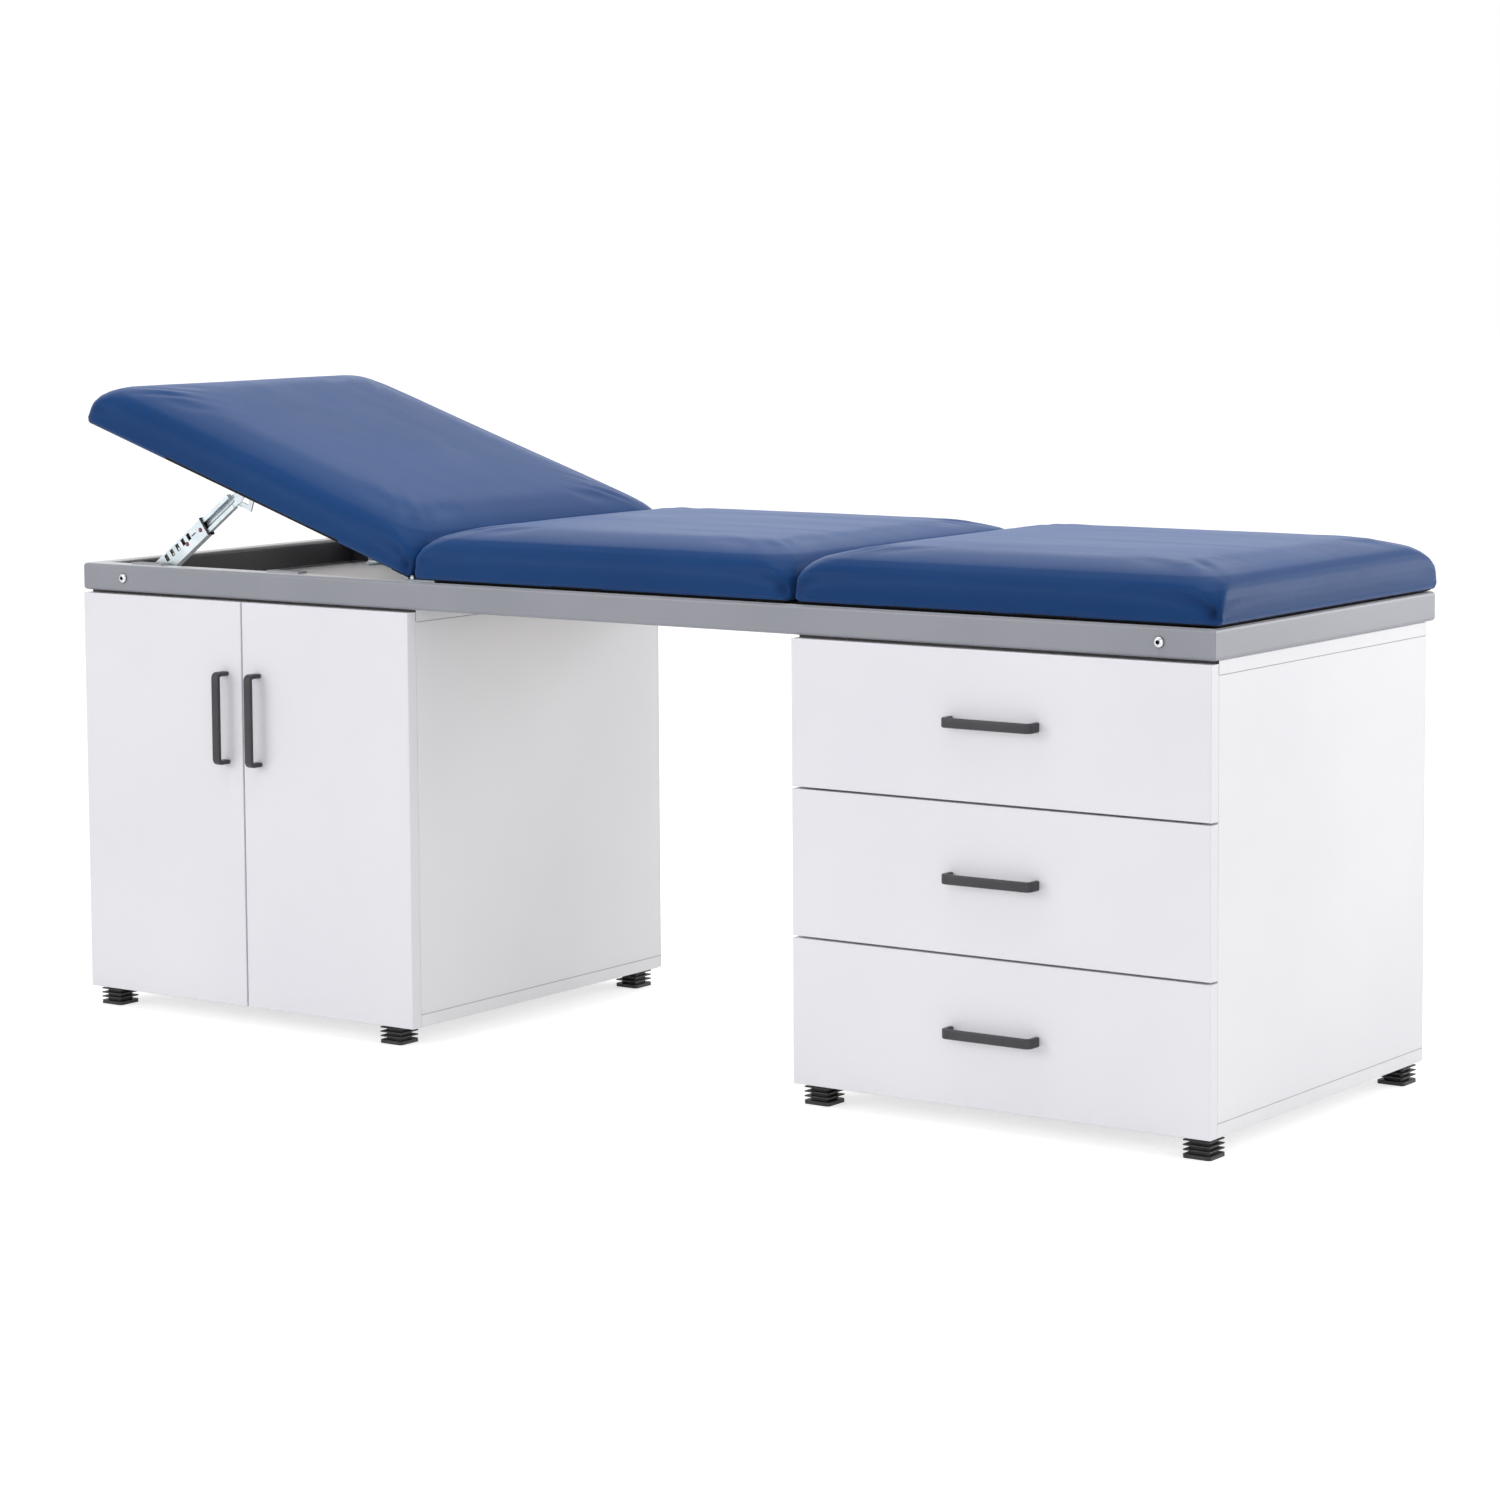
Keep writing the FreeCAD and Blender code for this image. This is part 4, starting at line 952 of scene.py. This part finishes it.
def hang_lining(points, half_x, half_y):
    """The turned-under cover and its lining, which hang a little below the flat underside, so that
    the dark lining fills the gap there as painted shade.
    """
    inset, outward = outline_at(points, half_x, half_y)
    slope = 2.5 * MM
    outer = np.clip((inset - 9 * MM) / slope, 0, 1)
    inner = np.clip((31 * MM - inset) / slope, 0, 1)
    points[:, 2] -= np.where(points[:, 2] < 0.3 * MM, lining_drop * (outer * inner), 0)


def cut_pocket(piece, middle, half_x, half_y):
    """The open middle of the underside, and the wider pocket above it that holds the board."""
    board_x = half_x - board_inset
    board_y = half_y - board_inset

    def in_mouth(centres):
        place = centres - np.array(middle)
        across = ((np.abs(place[:, 0]) < board_x - cover_margin)
                  & (np.abs(place[:, 1]) < board_y - cover_margin))
        return across & (place[:, 2] < 0.2 * MM)
    edit_faces(piece, in_mouth)
    bpy.ops.mesh.dissolve_faces()
    extrude(0, 0, cover_sheet)
    object_mode()
    rim = [vertex.co - middle for vertex in piece.data.vertices if vertex.select]
    wide = max(abs(place.x) for place in rim)
    deep = max(abs(place.y) for place in rim)
    edit_mode()
    extrude(0, 0, 0)
    bpy.ops.transform.resize(value=(board_x / wide, board_y / deep, 1), center_override=middle)
    extrude(0, 0, pocket_height - cover_sheet)
    object_mode()


def line_underside(piece, middle, lined_height):
    """Lining on the faces that look down or lie in the pocket: black, partly real and partly
    painted shade for the gap under the cushions.
    """
    piece.data.materials.append(lining_and_shade_finish)
    faces = piece.data.polygons
    height = read_rows(faces, "center")[:, 2] - middle.z
    downward = read_rows(faces, "normal")[:, 2] < -0.4
    lined = (height < 0.5 * MM) | (downward & (height < lined_height))
    lined |= np.array([len(face.vertices) > 40 for face in faces])
    faces.foreach_set("material_index", lined.astype(np.int32))


def make_cushion(name, node, body, span, top, seed, folds):
    """One cushion from blank to finished cover."""
    half_x = (span[1] - span[0]) / 2
    half_y = cushion_side
    middle = Vector(((span[0] + span[1]) / 2, 0, cushion_bottom)) + row_shift
    piece = cushion_blank(half_x - inflate_room, half_y - inflate_room, middle, top)
    even_mesh(piece, middle)
    inflate(piece, middle)
    stretch_waves(piece, middle, seed)
    add_modifier(piece, "SUBSURF", levels=1, render_levels=1)
    apply_modifiers(piece)
    points = read_points(piece, middle)
    firm_sides(points, half_x, half_y, top)
    draw_in_sides(points, half_x, half_y)
    depth = fold_corners(points, half_x, half_y, folds)
    if body == "bed":
        hang_lining(points, half_x, half_y)
    write_points(piece, points, middle)
    # How deep in the folds each point lies, kept on the points for the painted shade in the cover
    shade = piece.data.attributes.new("painted fold shade", "FLOAT", "POINT")
    shade.data.foreach_set("value", depth.astype(np.float32))
    cut_pocket(piece, middle, half_x, half_y)
    finish_piece(piece, name, body, "blue_cover", 50)
    line_underside(piece, middle, 4 * MM if body == "head_section" else 1.4 * MM)
    if body == "head_section":
        piece.data.transform(head_lift)
    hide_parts(node)


half_gap = cushion_joint_gap / 2
head_span = (-half_length - head_overhang, -cushion_joint - half_gap)
middle_span = (-cushion_joint + half_gap, cushion_joint - half_gap)
foot_span = (cushion_joint + half_gap, half_length + foot_overhang)
# Each cushion's span and crown, the seed of its waves, and how strong the folds are at its
# corners: head end front and back, foot end front and back
make_cushion("head_pad", "head_cushion", "head_section", head_span, 76.5 * MM, 1.3,
             (0.25, 0.4, 0.8, 0.5))
make_cushion("middle_pad", "middle_cushion", "bed", middle_span, 75.5 * MM, 2.7,
             (0.3, 0.4, 0.7, 0.5))
make_cushion("foot_pad", "foot_cushion", "bed", foot_span, 75 * MM, 4.1,
             (0.5, 0.4, 1.2, 0.4))


# Bar handles, round-cornered flat bars bent at both ends

handle_half = 64 * MM
handle_reach = 25 * MM
handle_thickness = 6.5 * MM
handle_width = 13 * MM
handle_bend = 5.75 * MM


def bar_handle():
    """A handle along X, its feet on the plane Y = 0, standing towards -Y."""
    leg = handle_reach - handle_thickness / 2 - handle_bend
    turn_x = handle_half - handle_bend
    deselect_all()
    bpy.ops.mesh.primitive_plane_add(size=1, location=(-handle_half, 0, 0),
                                     rotation=(math.pi / 2, 0, 0))
    bar = bpy.context.object
    settle(bar, (handle_thickness, handle_width, 1))
    edit_mode(True)
    bend = {"steps": 7, "angle": -math.pi / 2, "axis": (0, 0, 1)}
    extrude(0, -leg, 0)
    bpy.ops.mesh.spin(center=(-turn_x, -leg, 0), **bend)
    extrude(2 * turn_x, 0, 0)
    bpy.ops.mesh.spin(center=(turn_x, -leg, 0), **bend)
    extrude(0, leg, 0)
    object_mode()
    close_and_turn_out(bar)
    add_modifier(bar, "BEVEL", width=1.9 * MM, segments=4, limit_method="ANGLE",
                 angle_limit=math.radians(40))
    apply_modifiers(bar)
    return bar


handle_pattern = bar_handle()
upright = Matrix.Rotation(math.pi / 2, 4, "Y")
level = Matrix.Identity(4)
for body, x, z, turn in (
        ("left_door", -667 * MM, 450 * MM, upright), ("right_door", -605 * MM, 450 * MM, upright),
        ("bottom_drawer", 636 * MM, 127 * MM, level), ("middle_drawer", 636 * MM, 326 * MM, level),
        ("top_drawer", 636 * MM, 526 * MM, level)):
    place = Matrix.Translation(Vector((x, front_plane, z)) + row_shift)
    handle = spread(handle_pattern, body + "_handle_bar", body, "black_handle", [place @ turn])
    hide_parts(body + "_handle")


# Bolts, rivets, screws, nails and staples


def turned_shape(sides, radius, steps):
    """A round shape along +Z, drawn as radii and rises from its first face."""
    deselect_all()
    bpy.ops.mesh.primitive_circle_add(vertices=sides, radius=radius, fill_type="NGON")
    shape = bpy.context.object
    edit_mode(True)
    height = 0.0
    before = radius
    for up, after in steps:
        extrude(0, 0, up - height)
        bpy.ops.transform.resize(value=(after / before, after / before, 1),
                                 center_override=(0, 0, up))
        height = up
        before = after
    object_mode()
    return shape


def shape_last_ring(shape, reach_at):
    """Move the selected ring to a radius that depends on its turn, and leave it selected."""
    for vertex in shape.data.vertices:
        if vertex.select:
            turn = math.degrees(math.atan2(vertex.co.y, vertex.co.x)) % 360
            scale = reach_at(turn) / math.hypot(vertex.co.x, vertex.co.y)
            vertex.co.x *= scale
            vertex.co.y *= scale
    edit_mode()


def hexagon_reach(across):
    """The radius of a hexagon at a turn."""
    def reach(turn):
        return across / 2 / math.cos(math.radians((turn + 30) % 60 - 30))
    return reach


def cross_reach(turn):
    """The radius of a cross recess at a turn, for a ring of twelve points."""
    return 1.7 * MM if round(turn / 30) % 3 == 0 else 0.55 * MM


def button_bolt():
    """A polished dome with a hexagon socket, a shank and a nut; the rail's face is Z = 0."""
    dome = turned_shape(24, 7.5 * MM, [(rise * MM, radius * MM) for rise, radius in (
        (0.5, 7.5), (1.5, 7.25), (2.5, 6.55), (3.3, 5.5), (3.8, 4.4), (4.0, 3.4), (4.0, 3.0))])
    shape_last_ring(dome, hexagon_reach(5 * MM))
    extrude(0, 0, -2.4 * MM)
    object_mode()
    rail_and_bracket = 33 * MM
    nut_height = 6.5 * MM
    shank = turned_shape(24, 4 * MM, (
        (-rail_and_bracket, 4 * MM), (-rail_and_bracket, 7.2 * MM)))
    shape_last_ring(shank, hexagon_reach(13 * MM))
    extrude(0, 0, -nut_height)
    extrude(0, 0, 0)
    bpy.ops.transform.resize(value=(0.5, 0.5, 1), center_override=(0, 0, 0))
    object_mode()
    close_and_turn_out(dome)
    close_and_turn_out(shank)
    dome.select_set(True)
    bpy.ops.object.join()
    return bpy.context.object


def cross_screw(radius):
    """A low round head with a cross recess, seated at Z = 0."""
    head = turned_shape(12, radius, (
        (0.35 * MM, radius), (0.8 * MM, 0.86 * radius), (1.1 * MM, 0.66 * radius)))
    edit_mode()
    extrude(0, 0, 0)
    object_mode()
    shape_last_ring(head, cross_reach)
    extrude(0, 0, -0.8 * MM)
    object_mode()
    close_and_turn_out(head)
    return head


def dome_head(radius, height):
    """A plain small dome, for rivets and nails."""
    head = turned_shape(12, radius, (
        (0.3 * height, radius), (0.7 * height, 0.85 * radius), (0.95 * height, 0.55 * radius),
        (height, 0.2 * radius)))
    close_and_turn_out(head)
    return head


def wire_staple():
    """The crown of a staple, bent at both ends, lying along X just above the plane Z = 0."""
    deselect_all()
    bpy.ops.mesh.primitive_cube_add(size=1, location=(0, 0, 0.2 * MM))
    wire = bpy.context.object
    settle(wire, (10 * MM, 1.1 * MM, 0.5 * MM))
    add_modifier(wire, "BEVEL", width=0.22 * MM, segments=1)
    apply_modifiers(wire)
    return wire


both_sides = (-1, 1)
bolt_pattern = button_bolt()
bolts = spread(bolt_pattern, "rail_bolts", "bed", "zinc_fitting", [
    facing((x, side * half_width, rail_middle), (0, side, 0))
    for x in (-bolt_x, bolt_x) for side in both_sides], bolt_finish)
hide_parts("frame_bolts")

rivet_pattern = dome_head(3.4 * MM, 1.1 * MM)
pip_pattern = dome_head(1.1 * MM, 1.5 * MM)
up_strut = Vector((math.cos(strut_rise), 0, math.sin(strut_rise)))
below_strut = Vector((math.sin(strut_rise), 0, -math.cos(strut_rise)))
# How far up the strut each rivet sits, and how far below its middle line
rivet_places = ((88 * MM, 1.5 * MM), (122 * MM, 0.0))
for side, name in zip(both_sides, ("front", "back")):
    turns = []
    for reach, offset in rivet_places:
        place = strut_foot - row_shift + up_strut * reach + below_strut * offset
        place.y = side * channel_face
        turns.append(facing(place, (0, side, 0)))
    body = name + "_strut_lower"
    spread(rivet_pattern, name + "_strut_rivets", body, "zinc_fitting", turns, red_finish)
    spread(pip_pattern, name + "_rivet_pips", body, "black_rubber", turns)

screw_pattern = cross_screw(3 * MM)
hinge_heights = (130 * MM, 518 * MM)
cabinet_screws = [facing((x, side * 248 * MM, 625 * MM), (0, 0, 1))
                  for x in (-bolt_x, bolt_x) for side in both_sides]
cabinet_screws += [facing((x, -235 * MM, z + rise), (inward, 0, 0))
                   for x, inward in ((-926 * MM, 1), (-346 * MM, -1))
                   for z in hinge_heights for rise in (-10.5 * MM, 10.5 * MM)]
spread(screw_pattern, "cabinet_screws", "bed", "hinge_steel", cabinet_screws)
for body, x in (("left_door", -924.5 * MM), ("right_door", -347.5 * MM)):
    spread(screw_pattern, body + "_hinge_screws", body, "hinge_steel", [
        facing((x, -287 * MM, z + rise), (0, 1, 0))
        for z in hinge_heights for rise in (-20 * MM, 20 * MM)])
# The screws of the leaves and brackets are countersunk, so nearly flat
for vertex in screw_pattern.data.vertices:
    vertex.co.z *= 0.15
leaf_places = ((9 * MM, 290 * MM), (29 * MM, 272 * MM), (9 * MM, 254 * MM))
leaf_edge = 6.2 * MM
hinge_x = -322 * MM
spread(screw_pattern, "fixed_leaf_screws", "bed", "zinc_fitting", [
    facing((hinge_x + leaf_edge + x, side * y, 664.7 * MM), (0, 0, 1))
    for x, y in leaf_places for side in both_sides])
moving_screws = [(hinge_x - leaf_edge - x, side * y, 662.3 * MM)
                 for x, y in leaf_places for side in both_sides]
moving_screws += [(x, side * 238 * MM, 663 * MM)
                  for x in (-702 * MM, -676 * MM) for side in both_sides]
spread(screw_pattern, "head_board_screws", "head_section", "zinc_fitting",
       [head_lift @ facing(place, (0, 0, -1)) for place in moving_screws])

nail_pattern = dome_head(1.7 * MM, 0.5 * MM)
panel_back = 282 * MM
nail_low = 39 * MM
nail_high = 613 * MM
nail_gaps = 5
panel_nails = []
for left, right in ((-937 * MM, -335 * MM), (335 * MM, 937 * MM)):
    for step in range(nail_gaps + 1):
        x = left + (right - left) * step / nail_gaps
        panel_nails += [(x, panel_back, z) for z in (nail_low, nail_high)]
    for step in range(1, nail_gaps):
        z = nail_low + (nail_high - nail_low) * step / nail_gaps
        panel_nails += [(x, panel_back, z) for x in (left, right)]
spread(nail_pattern, "back_panel_nails", "bed", "hinge_steel",
       [facing(place, (0, 1, 0)) for place in panel_nails])

staple_pattern = wire_staple()
staple_inset = 36 * MM
staple_step = 42 * MM
quarter_turn = Matrix.Rotation(math.pi / 2, 4, "Z")


def staple_row(half_line):
    """Places along a line of staples, even about its middle."""
    count = int(2 * half_line / staple_step)
    return [(step - count / 2) * staple_step for step in range(count + 1)]


for name, body, (low, high) in (("head_pad", "head_section", head_span),
                                ("middle_pad", "bed", middle_span), ("foot_pad", "bed", foot_span)):
    centre = (low + high) / 2
    line_x = (high - low) / 2 - staple_inset
    line_y = cushion_side - staple_inset
    lift = head_lift if body == "head_section" else Matrix.Identity(4)
    staples = []
    for side in both_sides:
        for x in staple_row(line_x - 24 * MM):
            place = (centre + x, side * line_y, cushion_bottom)
            staples.append(lift @ facing(place, (0, 0, -1)))
        for y in staple_row(line_y - 30 * MM):
            place = (centre + side * line_x, y, cushion_bottom)
            staples.append(lift @ facing(place, (0, 0, -1)) @ quarter_turn)
    spread(staple_pattern, name + "_staples", body, "zinc_fitting", staples)

for pattern in (handle_pattern, bolt_pattern, rivet_pattern, pip_pattern, screw_pattern,
                nail_pattern, staple_pattern):
    bpy.data.objects.remove(pattern)


# Studio


def directly_seen(tree):
    """1 for what the camera sees straight, mirrored or through glass, and 0 as light."""
    rays = tree.nodes.new("ShaderNodeLightPath").outputs
    mirror = math_node("MAXIMUM", Value(rays["Is Glossy Ray"]), Value(rays["Is Transmission Ray"]))
    return math_node("MAXIMUM", Value(rays["Is Camera Ray"]), mirror)


def make_floor():
    """A pale floor that stays white in the picture and keeps the soft shadows."""
    deselect_all()
    bpy.ops.mesh.primitive_plane_add(size=60, location=(0, 0, 0))
    floor = bpy.context.object
    floor.name = "floor"
    material = bpy.data.materials.new("studio floor")
    tree, surface = fresh_tree(material, "ShaderNodeOutputMaterial")
    matt = tree.nodes.new("ShaderNodeBsdfDiffuse")
    matt.inputs["Color"].default_value = (0.8, 0.8, 0.8, 1)
    glow = new_node("ShaderNodeEmission", (directly_seen(tree) * 0.62,), ("Strength",))
    both = new_node("ShaderNodeAddShader", (Value(matt.outputs[0]), Value(glow.outputs[0])))
    plug(Value(both.outputs[0]), surface)
    floor.data.materials.append(material)


def make_world():
    """White to the eye and in reflections, a little softer as light."""
    world = bpy.data.worlds.new("studio")
    scene.world = world
    tree, surface = fresh_tree(world, "ShaderNodeOutputWorld")
    strength = value_range(directly_seen(tree), 0.0, 1.0, 0.6, 1.0)
    back = new_node("ShaderNodeBackground", (strength, (1, 1, 1, 1)), ("Strength", "Color"))
    plug(Value(back.outputs[0]), surface)


def make_lamp(name, place, aim, size, power):
    """A large soft lamp that points at the bed."""
    data = bpy.data.lights.new(name, "AREA")
    data.shape = "RECTANGLE"
    data.size, data.size_y = size
    data.energy = power
    lamp = bpy.data.objects.new(name, data)
    lamp.location = place
    direction = Vector(aim) - Vector(place)
    lamp.rotation_euler = direction.to_track_quat("-Z", "Y").to_euler()
    scene.collection.objects.link(lamp)


make_floor()
make_world()
make_lamp("top_lamp", (0.3, -0.4, 3.6), (0, 0, 0.6), (3.5, 2.5), 50)
make_lamp("right_lamp", (4.6, -1.0, 1.9), (0.5, 0, 0.5), (2.0, 2.0), 6)
make_lamp("back_lamp", (3.2, 3.8, 1.5), (0.3, 0, 0.5), (2.5, 2.5), 74)
make_lamp("front_lamp", (-2.6, -4.5, 2.0), (0.0, 0, 0.5), (2.2, 1.8), 48)
make_lamp("fill_lamp", (2.4, -4.2, 1.2), (0.0, 0, 0.4), (2.5, 2.0), 24)
